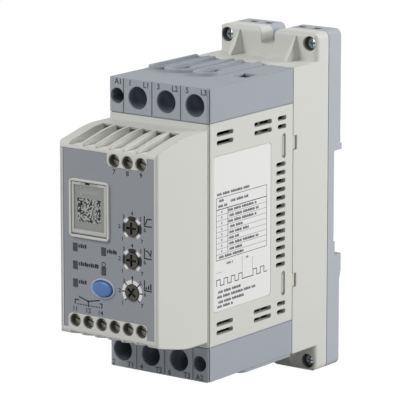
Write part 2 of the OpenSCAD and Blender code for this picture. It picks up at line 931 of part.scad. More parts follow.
module port_door() {
    half = door_width / 2;
    color(white)
    difference() {
        union() {
            box(door_x - half, door_x + half, door_front, door_front + door_thickness, hinge_z, door_top);
            translate([door_x - half, hinge_y, hinge_z])
                rotate([0, 90, 0])
                    cylinder(r = knuckle, h = door_width);
            translate([door_x - half - 0.8, hinge_y, hinge_z])
                rotate([0, 90, 0])
                    cylinder(r = pin_radius, h = door_width + 1.6);
        }
        box(door_x - half + door_rim, door_x + half - door_rim, door_front - 1, panel_front,
            hinge_z + door_rim, door_top - door_rim);
        translate([door_x, panel_front + scoop_depth - scoop_radius, door_top - 2.2])
            rotate([0, 90, 0])
                cylinder(r = scoop_radius, h = door_width / 2, center = true);
        box(door_x - 2, door_x + 0.2, door_front - 1, door_front + door_thickness - 0.4,
            door_top - 0.8, door_top + 1);
    }
}

// Setting knob with a cross slot; its stem turns in the potentiometer.
module setting_knob(z, start) {
    color(dark)
    difference() {
        union() {
            rod(knob_side, z, knob_radius, cover_front - knob_out, cover_inner + 0.6);
            rod(knob_side, z, stem_radius, cover_inner, stem_end);
        }
        for (turn = [start, start + 90])
            translate([knob_side, cover_front - knob_out, z])
                rotate([0, turn, 0])
                    cube([knob_radius * 1.5, 1.6, 0.9], center = true);
    }
}

module start_ramp_knob() {
    setting_knob(knobs[0], 0);
}

module stop_ramp_knob() {
    setting_knob(knobs[1], 0);
}

module start_torque_knob() {
    setting_knob(knobs[2], 38);
}

module reset_button() {
    ledge_front = cover_inner + 0.2;
    color(blue)
    union() {
        translate([button_x, 0, button_z]) {
            front_plate(cover_front - button_out + 0.4, ledge_front + 0.4)
                oval(button_long, button_short);
            front_plate(cover_front - button_out, cover_front)
                oval(button_long - 0.4, button_short - 0.4);
            front_plate(ledge_front, ledge_front + 1.2)
                oval(button_long + 1, button_short + 1);
        }
        rod(button_x, button_z, stem_radius, ledge_front, switch_front + 0.3);
    }
}

module light_guides() {
    color(clear)
    for (place = lamps)
        box(place[0] - lamp_width / 2 + slack, place[0] + lamp_width / 2 - slack,
            cover_front + 0.1, control_front - 2.6,
            place[1] - lamp_height / 2 + slack, place[1] + lamp_height / 2 - slack);
}

module indicator_lamps() {
    color(white)
    for (place = lamps)
        box(place[0] - 0.8, place[0] + 0.8, control_front - 2.4, control_front,
            place[1] - 1.3, place[1] + 1.3);
}

// Box clamp: the screw enters in front, the wire comes down through the middle.
module box_clamp(x, half, hole) {
    side = half * 0.8;
    difference() {
        box(x - half, x + half, cage_front, cage_back, screw_level - half, screw_level + half);
        box(x - side, x + side, cage_front + cage_wall, bar_back,
            screw_level - half - 1, screw_level + half + 1);
        rod(x, screw_level, hole, cage_front - 1, cage_front + cage_wall + 1);
    }
}

module power_clamps() {
    color(zinc)
    both_ends()
        for (x = poles)
            box_clamp(x, cage_half - 0.05, 2.5 + slack / 2);
}

module supply_clamps() {
    color(zinc)
    both_ends()
        box_clamp(supply_x, supply_cage_half - 0.05, 1.25 + slack / 2);
}

module power_screws() {
    color(zinc)
    both_ends()
        for (x = poles)
            cross_screw(x, screw_level, pole_radius - 0.3, 2.5, tunnel_end - 2.8, tunnel_end + 0.4,
                        cage_front + 4.4);
}

module supply_screws() {
    color(zinc)
    both_ends()
        cross_screw(supply_x, screw_level, supply_radius - 0.25, 1.25, tunnel_end - 2.2, tunnel_end + 0.4,
                    cage_front + 4);
}

// Bars from the upper clamps down to the power board.
module terminal_bars() {
    for (x = poles) {
        box(x - bar_width / 2, x + bar_width / 2, bar_back - bar_thickness, bar_back,
            bar_foot, screw_level + cage_half - 1);
        box(x - bar_width / 2, x + bar_width / 2, bar_back - bar_thickness, board_front,
            bar_foot, bar_foot + bar_thickness);
    }
}

module line_bars() {
    color(copper)
        terminal_bars();
}

module load_bars() {
    color(copper)
    rotate([0, 180, 0])
        terminal_bars();
}

module supply_leads() {
    lead = supply_cage_half * 0.6;
    color(copper)
    both_ends() {
        box(supply_x - lead, supply_x + lead, bar_back - 0.8, bar_back,
            bar_foot, screw_level + supply_cage_half - 0.4);
        box(supply_x - lead, supply_x + lead, bar_back - 0.8, board_front, bar_foot, bar_foot + 0.8);
    }
}

// Screw of one control terminal, head just behind the front wall.
module control_screw(x, z) {
    difference() {
        union() {
            rod(x, z, control_head_radius, control_head, control_head + 1.6);
            rod(x, z, 1.15, control_head + 1, clamp_front + 3);
        }
        translate([x, control_head, z])
            rotate([0, 20, 0])
                cube([control_head_radius * 3, 1.6, 0.7], center = true);
    }
}

module control_screws() {
    color(brass) {
        for (x = controls)
            control_screw(x, -control_lower);
        for (i = [3:5])
            control_screw(controls[i], control_upper);
    }
}

// Clamp of one control terminal, with the wire hole upright through it.
module control_clamp(x, z) {
    difference() {
        box(x - clamp_half, x + clamp_half, clamp_front, control_front, z - clamp_half, z + clamp_half);
        rod(x, z, 1.15 + slack / 2, clamp_front - 1, clamp_front + 3.2);
        translate([x, control_wire, z - clamp_half - 1])
            cylinder(r = 1.2, h = 2 * clamp_half + 2);
    }
}

module control_clamps() {
    color(brass) {
        for (x = controls)
            control_clamp(x, -control_lower);
        for (i = [3:5])
            control_clamp(controls[i], control_upper);
    }
}

// Strip that holds the clamps of one row; outer is the side where wires enter.
module control_strip(places, z, outer) {
    first = places[0] - control_pitch / 2 + 0.1;
    last = places[len(places) - 1] + control_pitch / 2 - 0.1;
    edge = outer * (front_room - slack);
    inner = z - outer * (clamp_room + 0.9);
    difference() {
        union() {
            box(first, last, cover_inner + slack, control_front, min(edge, inner), max(edge, inner));
            for (x = places)
                rod(x, z, control_radius - slack, collar_front, cover_inner + 1);
        }
        for (x = places) {
            rod(x, z, control_bore, collar_front - 1, clamp_front - 0.1);
            box(x - clamp_room, x + clamp_room, clamp_front - 0.2, control_front + 1,
                z - clamp_room, z + clamp_room);
            translate([x, control_wire, z + outer * 4])
                cylinder(r = 1.3, h = 8, center = true);
        }
    }
}

module upper_control_strip() {
    color(black)
        control_strip([for (i = [3:5]) controls[i]], control_upper, 1);
}

module lower_control_strip() {
    color(black)
        control_strip(controls, -control_lower, -1);
}

module power_board() {
    color(green)
        box(-board_half, board_half, board_front, board_back, -board_height, board_height);
}

module control_board() {
    color(green)
        box(-cover_room + 0.3, cover_room - 0.3, control_front, control_back,
            -control_board_half, control_board_half);
}

module link_board() {
    color(green)
        box(-0.6, 0.6, control_back, board_front, -15, 15);
}

// Thyristor module on the heatsink, its leads reaching the board.
module thyristor(x) {
    half = sink_half / 2 - 0.9;
    front = sink_front - module_thickness;
    difference() {
        union() {
            box(x - half, x + half, front, sink_front, -12, 12);
            for (i = [-1:1])
                box(x + i * 4 - 0.6, x + i * 4 + 0.6, board_back, front, -9.5, -8.5);
        }
        rod(x, 8, 1.6, front - 1, sink_front + 1);
    }
}

module left_thyristor() {
    color(black)
        thyristor(-sink_half / 2);
}

module right_thyristor() {
    color(black)
        thyristor(sink_half / 2);
}

module thyristor_screws() {
    front = sink_front - module_thickness;
    color(zinc)
    for (x = [-sink_half / 2, sink_half / 2])
        cross_screw(x, 8, 2.8, 1.5, front - 2, front, sink_front + 3);
}

module heatsink() {
    fins = 9;
    step = (2 * sink_half - fin_thickness) / (fins - 1);
    color(metal)
    difference() {
        union() {
            box(-sink_half, sink_half, sink_front, sink_back, -45, 45);
            for (i = [0:fins - 1])
                box(i * step - sink_half, i * step - sink_half + fin_thickness, sink_back - 0.5, base_front,
                    -45, 45);
        }
        for (x = [-sink_half / 2, sink_half / 2])
            rod(x, 8, 1.5 + slack / 2, sink_front - 1, sink_front + 3.2);
    }
}

// Sealed relay, its case a little narrower over the foot.
module bypass_relay(side) {
    near = relay_side;
    far = board_half - 0.6;
    color(black)
        union() {
            box(min(side * near, side * far), max(side * near, side * far), board_front - 3, board_front,
                -14, 14);
            box(min(side * (near + 0.4), side * (far - 0.4)), max(side * (near + 0.4), side * (far - 0.4)),
                relay_front, board_front - 2.9, -13.6, 13.6);
        }
}

module left_bypass_relay() {
    bypass_relay(-1);
}

module right_bypass_relay() {
    bypass_relay(1);
}

// Ring round a load bar, on a foot that stands on the board.
module current_ring(x) {
    ring = (pole_pitch - ring_gap) / 2;
    middle = bar_back - bar_thickness / 2;
    low = -bar_foot - 6.4;
    difference() {
        union() {
            translate([x, middle, low])
                cylinder(r = ring, h = 5);
            box(x - 4, x + 4, middle, board_front, low, low + 5);
        }
        translate([x, middle, low - 1])
            cylinder(r = bar_width / 2 + 0.9, h = 7);
    }
}

module current_transformers() {
    color(dark) {
        current_ring(-poles[1]);
        current_ring(-poles[2]);
    }
}

module supply_transformer() {
    color(brass)
    union() {
        box(-board_half + 1, -3, board_front - 4, board_front, 16, bar_foot - 1);
        box(-board_half + 2, -4, board_front - 15, board_front - 3.9, 17, bar_foot - 2);
    }
}

module filter_capacitors() {
    color(blue)
    for (x = [can_side - can_pitch, can_side])
        rod(x, 21.5, can_radius, board_front - 14, board_front);
}

module potentiometers() {
    color(blue)
    for (z = knobs)
        difference() {
            box(knob_side - 4.4, knob_side + 4.4, pot_front, control_front, z - 4.4, z + 4.4);
            rod(knob_side, z, stem_radius + 0.05, pot_front - 1, stem_end + free_gap);
        }
}

module reset_switch() {
    color(black)
    difference() {
        box(button_x - 3, button_x + 3, switch_front, control_front, button_z - 3, button_z + 3);
        rod(button_x, button_z, stem_radius + 0.1, switch_front - 1,
            switch_front + 0.3 + button_travel + free_gap);
    }
}

module service_socket() {
    middle = (hinge_z + door_top) / 2;
    color(black)
    difference() {
        box(door_x - 5.5, door_x + 5.5, control_front - 10, control_front, middle - 4, middle + 4);
        box(door_x - 4.5, door_x + 4.5, control_front - 11, control_front - 3, middle - 3, middle + 3);
    }
}

rear_base();
rail_clip();
rail_clip_spring();
rear_housing();
base_screws();
main_housing();
side_label();
upper_terminal_block();
lower_terminal_block();
front_cover();
front_label();
port_door();
start_ramp_knob();
stop_ramp_knob();
start_torque_knob();
reset_button();
light_guides();
power_screws();
power_clamps();
supply_screws();
supply_clamps();
control_screws();
control_clamps();
upper_control_strip();
lower_control_strip();
line_bars();
load_bars();
supply_leads();
power_board();
control_board();
link_board();
left_thyristor();
right_thyristor();
thyristor_screws();
heatsink();
left_bypass_relay();
right_bypass_relay();
current_transformers();
supply_transformer();
filter_capacitors();
potentiometers();
indicator_lamps();
reset_switch();
service_socket();
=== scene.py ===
"""Dresses the soft starter: finishes for its moulded and metal pieces, print on its labels, and a studio.

Lengths are written in millimetres and become metres by MM. The frame is the part's own, front towards -Y.
"""
import json

import bmesh
import bpy
import numpy as np
from mathutils import Matrix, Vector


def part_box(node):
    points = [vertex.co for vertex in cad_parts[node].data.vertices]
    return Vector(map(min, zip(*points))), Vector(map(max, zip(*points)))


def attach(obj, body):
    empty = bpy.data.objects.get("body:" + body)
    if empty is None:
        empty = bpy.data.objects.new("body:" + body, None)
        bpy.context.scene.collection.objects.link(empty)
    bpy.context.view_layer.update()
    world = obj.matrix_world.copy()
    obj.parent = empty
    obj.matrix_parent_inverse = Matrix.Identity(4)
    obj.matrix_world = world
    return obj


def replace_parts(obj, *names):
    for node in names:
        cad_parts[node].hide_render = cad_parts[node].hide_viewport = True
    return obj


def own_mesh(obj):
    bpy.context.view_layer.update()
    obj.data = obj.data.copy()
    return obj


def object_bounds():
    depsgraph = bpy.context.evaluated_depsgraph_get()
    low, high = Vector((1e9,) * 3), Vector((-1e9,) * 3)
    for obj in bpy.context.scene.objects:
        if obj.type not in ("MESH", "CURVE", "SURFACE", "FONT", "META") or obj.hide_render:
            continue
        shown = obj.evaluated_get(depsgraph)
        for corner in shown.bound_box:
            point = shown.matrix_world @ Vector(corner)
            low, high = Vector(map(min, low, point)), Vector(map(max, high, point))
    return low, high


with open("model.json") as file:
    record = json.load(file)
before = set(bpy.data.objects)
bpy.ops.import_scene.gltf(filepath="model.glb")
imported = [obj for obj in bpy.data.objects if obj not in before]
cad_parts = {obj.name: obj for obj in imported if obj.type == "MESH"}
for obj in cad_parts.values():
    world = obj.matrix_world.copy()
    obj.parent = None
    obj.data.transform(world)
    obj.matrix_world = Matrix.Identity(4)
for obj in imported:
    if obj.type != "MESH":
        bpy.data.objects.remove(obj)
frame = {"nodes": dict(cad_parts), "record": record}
cad_low, cad_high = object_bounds()

MM = 0.001


def node_box(node):
    """Lowest and highest corner of a node, in millimetres."""
    return [np.array(corner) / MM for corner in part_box(node)]


def node_middle(node):
    """Middle of a node across and up, in millimetres."""
    low, high = node_box(node)
    return (low + high)[[0, 2]] / 2


def opening_middle(name):
    """Middle of one of the record's openings across and up, in millimetres."""
    openings = frame["record"]["physics"]["openings"]
    corners = next(np.array(opening["box_m"]) for opening in openings if opening["name"] == name)
    return corners.mean(axis=0)[[0, 2]] / MM


# Places taken from the frame
HALF_WIDTH, _, HOUSING_END = node_box("main_housing")[1]
BODY_FRONT = node_box("main_housing")[0][1]
REAR_FRONT = node_box("rear_housing")[0][1]
LABEL_FACE = node_box("front_label")[0][1]
SIDE_FACE = node_box("side_label")[1][0]
COVER_END = node_box("front_cover")[1][2]
KNOBS = [node_middle(name) for name in ("start_ramp_knob", "stop_ramp_knob", "start_torque_knob")]
POLES = [opening_middle(f"line_screw_{pole}") for pole in (3, 2, 1)]

# Sizes and places that the frame doesn't give
ENTRY_RIM = 1.2
SUPPLY = -18.7
FLANGE_FRONT = -12.2
FLANGE_RECESS = 2.85
HEAD_RADIUS = 2.2
SLOT_HALF = 0.34
SLOT_REACH = 1.35
LATCH_LEVEL = 26.3
LATCH_HALF = 4.2
POCKETS = (7.8, 14.7)
POCKET_HALF = 1.8
POCKET_LEVELS = (60.3, 65.25)
POCKET_DEPTHS = (-2.05, 1.05)
CONTROL_PITCH = 6.02
SLOPE_FOOT = 35.4
SLOPE_DEPTH = 17.0
SLOPE_BEND = 50.0
FUNNEL_HALF = 2.35
FUNNEL_LID = 0.9
DOOR_RIM = 1.0
DOOR_KNUCKLE = 0.8
PANEL_DROP = 0.3

# Places worked out from both
BLOCK_TOP = node_box("upper_terminal_block")[1][2] - ENTRY_RIM
FLANGE_SCREW = (node_box("base_screws")[1] - HEAD_RADIUS)[[0, 2]]
LATCH_FRONT = REAR_FRONT - 6.9
CONTROLS = (np.arange(6) - 2.5) * CONTROL_PITCH
BEND_START = LABEL_FACE + 11.4
FUNNEL_FLOOR = SLOPE_FOOT - FUNNEL_LID
FUNNEL_BACK = LABEL_FACE + SLOPE_DEPTH + 3.65

# Thickness of printed ink, the font size of a figure one unit high, and the share that thickens its strokes
INK = 0.02
FIGURE_SIZE = 1.38
FIGURE_GAIN = 0.03


def srgb(red, green, blue):
    """Linear colour of an 8-bit display colour, with alpha one."""
    values = np.array([red, green, blue]) / 255.0
    linear = np.where(values <= 0.04045, values / 12.92, ((values + 0.055) / 1.055) ** 2.4)
    return (*[float(v) for v in linear], 1.0)


# Colours of the mouldings, with painted shade and painted light for their recesses
WHITE = srgb(213, 213, 208)
FUNNEL_PAINTED_LIGHT = srgb(239, 239, 235)
FUNNEL_END_PAINTED_SHADE = srgb(158, 158, 153)
TERMINAL_GREY = srgb(168, 173, 180)
BASE_GREY = srgb(181, 185, 192)
TUNNEL_PAINTED_SHADE = srgb(114, 121, 132)
TUNNEL_DEEP_PAINTED_LIGHT = srgb(192, 198, 208)
RECESS_PAINTED_SHADE = srgb(104, 103, 98)
VENT_PAINTED_SHADE = srgb(192, 196, 188)
INSIDE_GREY = srgb(214, 216, 210)
POCKET_PAINTED_SHADE = srgb(88, 92, 100)
GROOVE_RIM_PAINTED_SHADE = srgb(168, 168, 163)
GROOVE_FLOOR_SHADE_AND_LIGHT = srgb(196, 196, 191)
TONGUE_WHITE = srgb(205, 200, 185)


# Shader helpers


def add_node(tree, kind, values=None, **settings):
    """Adds a node, sets its properties, and sets or links its inputs by name or number."""
    node = tree.nodes.new(kind)
    for key, value in settings.items():
        setattr(node, key, value)
    for key, value in (values or {}).items():
        if isinstance(value, bpy.types.NodeSocket):
            tree.links.new(value, node.inputs[key])
        else:
            node.inputs[key].default_value = value
    return node


def calc(tree, operation, first, second=0.0, third=0.0):
    """Socket of one arithmetic step."""
    return add_node(tree, "ShaderNodeMath", {0: first, 1: second, 2: third}, operation=operation).outputs[0]


def vector_calc(tree, operation, first, second=(0.0, 0.0, 0.0)):
    """Socket of one arithmetic step on vectors."""
    return add_node(tree, "ShaderNodeVectorMath", {0: first, 1: second}, operation=operation).outputs[0]


def fade(tree, value, low, high):
    """Smooth step from 0 at low to 1 at high."""
    return add_node(tree, "ShaderNodeMapRange", {"Value": value, "From Min": low, "From Max": high},
                    interpolation_type="SMOOTHSTEP").outputs["Result"]


def within(tree, value, low, high, soft=0.03):
    """One where a value lies between two bounds in millimetres, with soft edges."""
    rise = fade(tree, value, (low - soft) * MM, (low + soft) * MM)
    fall = fade(tree, value, (high + soft) * MM, (high - soft) * MM)
    return calc(tree, "MULTIPLY", rise, fall)


def blend(tree, share, first, second):
    """Colour between two colours."""
    return add_node(tree, "ShaderNodeMix", {0: share, 6: first, 7: second}, data_type="RGBA").outputs[2]


def place(tree):
    """The surface point in the object's frame, as a vector and as its X, Y and Z."""
    where = tree.nodes.new("ShaderNodeTexCoord").outputs["Object"]
    split = add_node(tree, "ShaderNodeSeparateXYZ", {"Vector": where})
    return where, split.outputs[0], split.outputs[1], split.outputs[2]


def new_group(name, inputs, outputs):
    """Empty shader group with named sockets: inputs are name, kind and default, outputs name and kind."""
    tree = bpy.data.node_groups.new(name, "ShaderNodeTree")
    for label, kind, default in inputs:
        socket = tree.interface.new_socket(label, in_out="INPUT", socket_type=kind)
        socket.default_value = default
    for label, kind in outputs:
        tree.interface.new_socket(label, in_out="OUTPUT", socket_type=kind)
    return tree, tree.nodes.new("NodeGroupInput"), tree.nodes.new("NodeGroupOutput")


def moulded_skin_group():
    """Moulded surface: fine spark-eroded grain as height, slow mottling in the colour, and patchy gloss."""
    tree, source, sink = new_group(
        "moulded_skin",
        [("Grain Size", "NodeSocketFloat", 2500.0), ("Mottle", "NodeSocketFloat", 0.04),
         ("Roughness", "NodeSocketFloat", 0.5), ("Color", "NodeSocketColor", (0.8, 0.8, 0.8, 1.0))],
        [("Color", "NodeSocketColor"), ("Roughness", "NodeSocketFloat"), ("Height", "NodeSocketFloat")])
    where, _, _, _ = place(tree)
    grain = add_node(tree, "ShaderNodeTexNoise", {"Vector": where, "Scale": source.outputs["Grain Size"],
                                                  "Detail": 3.0, "Roughness": 0.6})
    cloud = add_node(tree, "ShaderNodeTexNoise", {"Vector": where, "Scale": 45.0, "Detail": 4.0,
                                                  "Roughness": 0.55})
    speck = add_node(tree, "ShaderNodeTexNoise", {"Vector": where, "Scale": 700.0, "Detail": 2.0})
    shift = calc(tree, "SUBTRACT", cloud.outputs["Fac"], 0.5)
    shift = calc(tree, "MULTIPLY_ADD", calc(tree, "SUBTRACT", speck.outputs["Fac"], 0.5), 0.35, shift)
    bright = calc(tree, "MULTIPLY_ADD", shift, source.outputs["Mottle"], 1.0)
    tinted = add_node(tree, "ShaderNodeHueSaturation", {"Value": bright, "Color": source.outputs["Color"]})
    rough = calc(tree, "MULTIPLY_ADD", shift, 0.18, source.outputs["Roughness"])
    tree.links.new(tinted.outputs["Color"], sink.inputs["Color"])
    tree.links.new(rough, sink.inputs["Roughness"])
    tree.links.new(grain.outputs["Fac"], sink.inputs["Height"])
    return tree


def metal_skin_group():
    """Plated or drawn metal: streaks along one axis as height and roughness, and faint tarnish as colour."""
    tree, source, sink = new_group(
        "metal_skin",
        [("Stretch", "NodeSocketVector", (900.0, 900.0, 900.0)), ("Tarnish", "NodeSocketFloat", 0.2),
         ("Roughness", "NodeSocketFloat", 0.35), ("Color", "NodeSocketColor", (0.7, 0.7, 0.7, 1.0))],
        [("Color", "NodeSocketColor"), ("Roughness", "NodeSocketFloat"), ("Height", "NodeSocketFloat")])
    where, _, _, _ = place(tree)
    scaled = vector_calc(tree, "MULTIPLY", where, source.outputs["Stretch"])
    streak = add_node(tree, "ShaderNodeTexNoise", {"Vector": scaled, "Scale": 1.0, "Detail": 3.0})
    cloud = add_node(tree, "ShaderNodeTexNoise", {"Vector": where, "Scale": 400.0, "Detail": 3.0})
    shift = calc(tree, "SUBTRACT", streak.outputs["Fac"], 0.5)
    stain = calc(tree, "MULTIPLY", fade(tree, cloud.outputs["Fac"], 0.4, 0.75), source.outputs["Tarnish"])
    bright = calc(tree, "SUBTRACT", calc(tree, "MULTIPLY_ADD", shift, 0.2, 1.0), stain)
    tinted = add_node(tree, "ShaderNodeHueSaturation", {"Value": bright, "Color": source.outputs["Color"]})
    rough = calc(tree, "ADD", calc(tree, "MULTIPLY_ADD", shift, 0.3, source.outputs["Roughness"]), stain)
    tree.links.new(tinted.outputs["Color"], sink.inputs["Color"])
    tree.links.new(rough, sink.inputs["Roughness"])
    tree.links.new(streak.outputs["Fac"], sink.inputs["Height"])
    return tree


def recess_shade_group():
    """Shade inside openings: depth is the least distance in from the sides, the front and the two ends,
    and the shade climbs smoothly from 0 where depth is Start to 1 where it is Full."""
    sizes = (("Half Width", 0.02), ("Front", -0.1), ("Half Height", 0.05), ("Start", 0.0002), ("Full", 0.001))
    inputs = [(label, "NodeSocketFloat", value) for label, value in sizes]
    tree, source, sink = new_group("recess_shade", inputs, [("Shade", "NodeSocketFloat")])
    _, x, y, z = place(tree)
    from_side = calc(tree, "SUBTRACT", source.outputs["Half Width"], calc(tree, "ABSOLUTE", x))
    from_end = calc(tree, "SUBTRACT", source.outputs["Half Height"], calc(tree, "ABSOLUTE", z))
    from_front = calc(tree, "SUBTRACT", y, source.outputs["Front"])
    depth = calc(tree, "MINIMUM", calc(tree, "MINIMUM", from_side, from_end), from_front)
    shade = fade(tree, depth, source.outputs["Start"], source.outputs["Full"])
    tree.links.new(shade, sink.inputs["Shade"])
    return tree


MOULDED_SKIN = moulded_skin_group()
METAL_SKIN = metal_skin_group()
RECESS_SHADE = recess_shade_group()


# Materials


def empty_material(name):
    """Material with only its output, and the Principled shader that feeds it."""
    material = bpy.data.materials.new(name)
    material.use_nodes = True
    tree = material.node_tree
    tree.nodes.clear()
    shader = tree.nodes.new("ShaderNodeBsdfPrincipled")
    output = tree.nodes.new("ShaderNodeOutputMaterial")
    tree.links.new(shader.outputs["BSDF"], output.inputs["Surface"])
    return material, tree, shader


def use_group(tree, group, values):
    """Places a shader group in a material with its own values."""
    return add_node(tree, "ShaderNodeGroup", values, node_tree=group)


def dress(tree, shader, skin, depth, soft):
    """Feeds a skin's colour, roughness and height to a shader, its edges rounded by a soft radius."""
    bump = add_node(tree, "ShaderNodeBump", {"Height": skin.outputs["Height"], "Distance": depth * MM,
                                             "Strength": 0.6})
    if soft:
        edge = add_node(tree, "ShaderNodeBevel", {"Radius": soft * MM}, samples=4)
        tree.links.new(edge.outputs["Normal"], bump.inputs["Normal"])
    tree.links.new(bump.outputs["Normal"], shader.inputs["Normal"])
    tree.links.new(skin.outputs["Color"], shader.inputs["Base Color"])
    tree.links.new(skin.outputs["Roughness"], shader.inputs["Roughness"])


def plastic(name, colour, roughness=0.5, grain=2400.0, depth=0.012, mottle=0.05, soft=0.25, gloss=0.2):
    """Moulded plastic; the colour is a flat one, or a function that paints it in the material's tree."""
    material, tree, shader = empty_material(name)
    shader.inputs["Specular IOR Level"].default_value = gloss
    skin = use_group(tree, MOULDED_SKIN, {"Grain Size": grain, "Mottle": mottle, "Roughness": roughness,
                                          "Color": colour(tree) if callable(colour) else colour})
    dress(tree, shader, skin, depth, soft)
    return material


def ink(name, colour, mottle=0.1):
    """Printed ink: thin, matt and nearly smooth."""
    return plastic(name, colour, 0.5, 5200.0, 0.003, mottle, 0.0)


def metal(name, colour, roughness, stretch, tarnish=0.15, depth=0.01, soft=0.1, metallic=1.0):
    """Bare or plated metal with streaks; a lower metallic value stands for a dull passivated plating."""
    material, tree, shader = empty_material(name)
    shader.inputs["Metallic"].default_value = metallic
    skin = use_group(tree, METAL_SKIN, {"Stretch": stretch, "Tarnish": tarnish, "Roughness": roughness,
                                        "Color": colour(tree) if callable(colour) else colour})
    dress(tree, shader, skin, depth, soft)
    return material


def recess(tree, half_height, start, full):
    """Shade socket for a moulding as wide and as far forward as the body."""
    sizes = {"Half Width": HALF_WIDTH, "Front": BODY_FRONT, "Half Height": half_height,
             "Start": start, "Full": full}
    return use_group(tree, RECESS_SHADE, {key: value * MM for key, value in sizes.items()}).outputs["Shade"]


def terminal_paint(tree):
    """Blue-grey plastic with painted shade just inside the screw tunnels and wire entries, and painted light
    deep down, where little light comes."""
    # Painted shade just inside the tunnels, wire entries and divider grooves
    mouth = blend(tree, recess(tree, BLOCK_TOP, 0.55, 0.9), TERMINAL_GREY, TUNNEL_PAINTED_SHADE)
    # Painted light deep in the tunnels, where little light comes
    return blend(tree, recess(tree, BLOCK_TOP, 3.0, 9.0), mouth, TUNNEL_DEEP_PAINTED_LIGHT)


def housing_paint(tree):
    """White plastic: painted shade on the walls of the vents, pale again further in; a grey band of painted
    shade on the rims and floors of the latch grooves, lighter on the floors to offset the shade that falls
    there; and warmer on the latch tongues."""
    _, _, y, z = place(tree)
    # Painted shade on the vent walls, giving way to pale grey further in
    wall = blend(tree, recess(tree, HOUSING_END, 0.55, 0.9), WHITE, VENT_PAINTED_SHADE)
    wall = blend(tree, recess(tree, HOUSING_END, 1.7, 2.2), wall, INSIDE_GREY)
    # Painted shade: a grey band on the rims and floors of the latch grooves, lighter on the floors to offset
    # the shade that falls there
    along = within(tree, calc(tree, "ABSOLUTE", z), LATCH_LEVEL - LATCH_HALF, LATCH_LEVEL + LATCH_HALF)
    groove = calc(tree, "MULTIPLY", along, within(tree, y, LATCH_FRONT - 0.6, LATCH_FRONT + 1.9))
    floor = blend(tree, recess(tree, HOUSING_END, 0.1, 0.3), GROOVE_RIM_PAINTED_SHADE, GROOVE_FLOOR_SHADE_AND_LIGHT)
    wall = blend(tree, groove, wall, floor)
    tongue = fade(tree, y, (REAR_FRONT + 0.02) * MM, (REAR_FRONT + 0.1) * MM)
    return blend(tree, tongue, wall, TONGUE_WHITE)


def from_flange_screw(tree, x, z):
    """Distances across and up from the axis of the nearest flange screw."""
    across = calc(tree, "SUBTRACT", calc(tree, "ABSOLUTE", x), float(FLANGE_SCREW[0]) * MM)
    up = calc(tree, "SUBTRACT", calc(tree, "ABSOLUTE", z), float(FLANGE_SCREW[1]) * MM)
    return across, up


def rear_paint(tree):
    """White plastic, with painted shade down the four screw recesses of the flanges."""
    _, x, y, z = place(tree)
    across, up = from_flange_screw(tree, x, z)
    square = calc(tree, "MULTIPLY_ADD", across, across, calc(tree, "MULTIPLY", up, up))
    inside = fade(tree, calc(tree, "SQRT", square), (FLANGE_RECESS + 0.05) * MM, FLANGE_RECESS * MM)
    sunk = fade(tree, y, (FLANGE_FRONT + 0.05) * MM, (FLANGE_FRONT + 1.5) * MM)
    # Painted shade down the screw recesses
    return blend(tree, calc(tree, "MULTIPLY", inside, sunk), WHITE, RECESS_PAINTED_SHADE)


def flange_screw_paint(tree):
    """Bright zinc, with painted shade in the cross slots."""
    _, x, _, z = place(tree)
    across, up = (calc(tree, "ABSOLUTE", distance) for distance in from_flange_screw(tree, x, z))
    narrow = fade(tree, calc(tree, "MINIMUM", across, up), (SLOT_HALF + 0.06) * MM, (SLOT_HALF - 0.06) * MM)
    short = fade(tree, calc(tree, "MAXIMUM", across, up), (SLOT_REACH + 0.06) * MM, (SLOT_REACH - 0.06) * MM)
    # Painted shade in the cross slots
    return blend(tree, calc(tree, "MULTIPLY", narrow, short), srgb(224, 236, 242), srgb(118, 127, 133))


def base_paint(tree):
    """Grey plastic, with painted shade in the square pockets at the ends of the base plate."""
    _, x, y, z = place(tree)
    across = calc(tree, "ABSOLUTE", x)
    inner, outer = (within(tree, across, middle - POCKET_HALF, middle + POCKET_HALF) for middle in POCKETS)
    end = within(tree, calc(tree, "ABSOLUTE", z), *POCKET_LEVELS, 0.2)
    pocket = calc(tree, "MULTIPLY", calc(tree, "MAXIMUM", inner, outer), end)
    hollow = calc(tree, "MULTIPLY", pocket, within(tree, y, *POCKET_DEPTHS))
    # Painted shade in the end pockets
    return blend(tree, hollow, BASE_GREY, POCKET_PAINTED_SHADE)


def cover_paint(tree):
    """White plastic, with painted light down the wire funnels and painted shade at their inner ends; a funnel
    lies between the outermost walls, above the funnels' floor and below the slope, whose level climbs evenly
    and then drops away with the square of the way into its bend."""
    _, x, y, z = place(tree)
    height = calc(tree, "ABSOLUTE", z)
    climb = (COVER_END - SLOPE_FOOT) / SLOPE_DEPTH
    level = calc(tree, "MULTIPLY_ADD", y, climb, (SLOPE_FOOT - climb * LABEL_FACE) * MM)
    bent = calc(tree, "MAXIMUM", calc(tree, "SUBTRACT", y, BEND_START * MM), 0.0)
    drop = calc(tree, "DIVIDE", calc(tree, "MULTIPLY", bent, bent), 2 * SLOPE_BEND * MM)
    depth = calc(tree, "SUBTRACT", calc(tree, "SUBTRACT", level, drop), height)
    side = CONTROLS[-1] + FUNNEL_HALF
    behind = fade(tree, y, (LABEL_FACE + 0.8) * MM, (LABEL_FACE + 2.5) * MM)
    above = fade(tree, height, (FUNNEL_FLOOR - 0.1) * MM, (FUNNEL_FLOOR - 0.05) * MM)
    room = calc(tree, "MULTIPLY", calc(tree, "MULTIPLY", within(tree, x, -side, side), behind), above)
    sunk = calc(tree, "MULTIPLY", room, fade(tree, depth, 0.04 * MM, 0.2 * MM))
    # Painted light down the funnels, strongest near their tops
    pale = blend(tree, fade(tree, depth, 1.5 * MM, 5.0 * MM), FUNNEL_PAINTED_LIGHT, WHITE)
    # Painted shade at the inner end of each funnel
    hole = fade(tree, y, (FUNNEL_BACK - 1.0) * MM, (FUNNEL_BACK + 0.3) * MM)
    return blend(tree, sunk, WHITE, blend(tree, hole, pale, FUNNEL_END_PAINTED_SHADE))


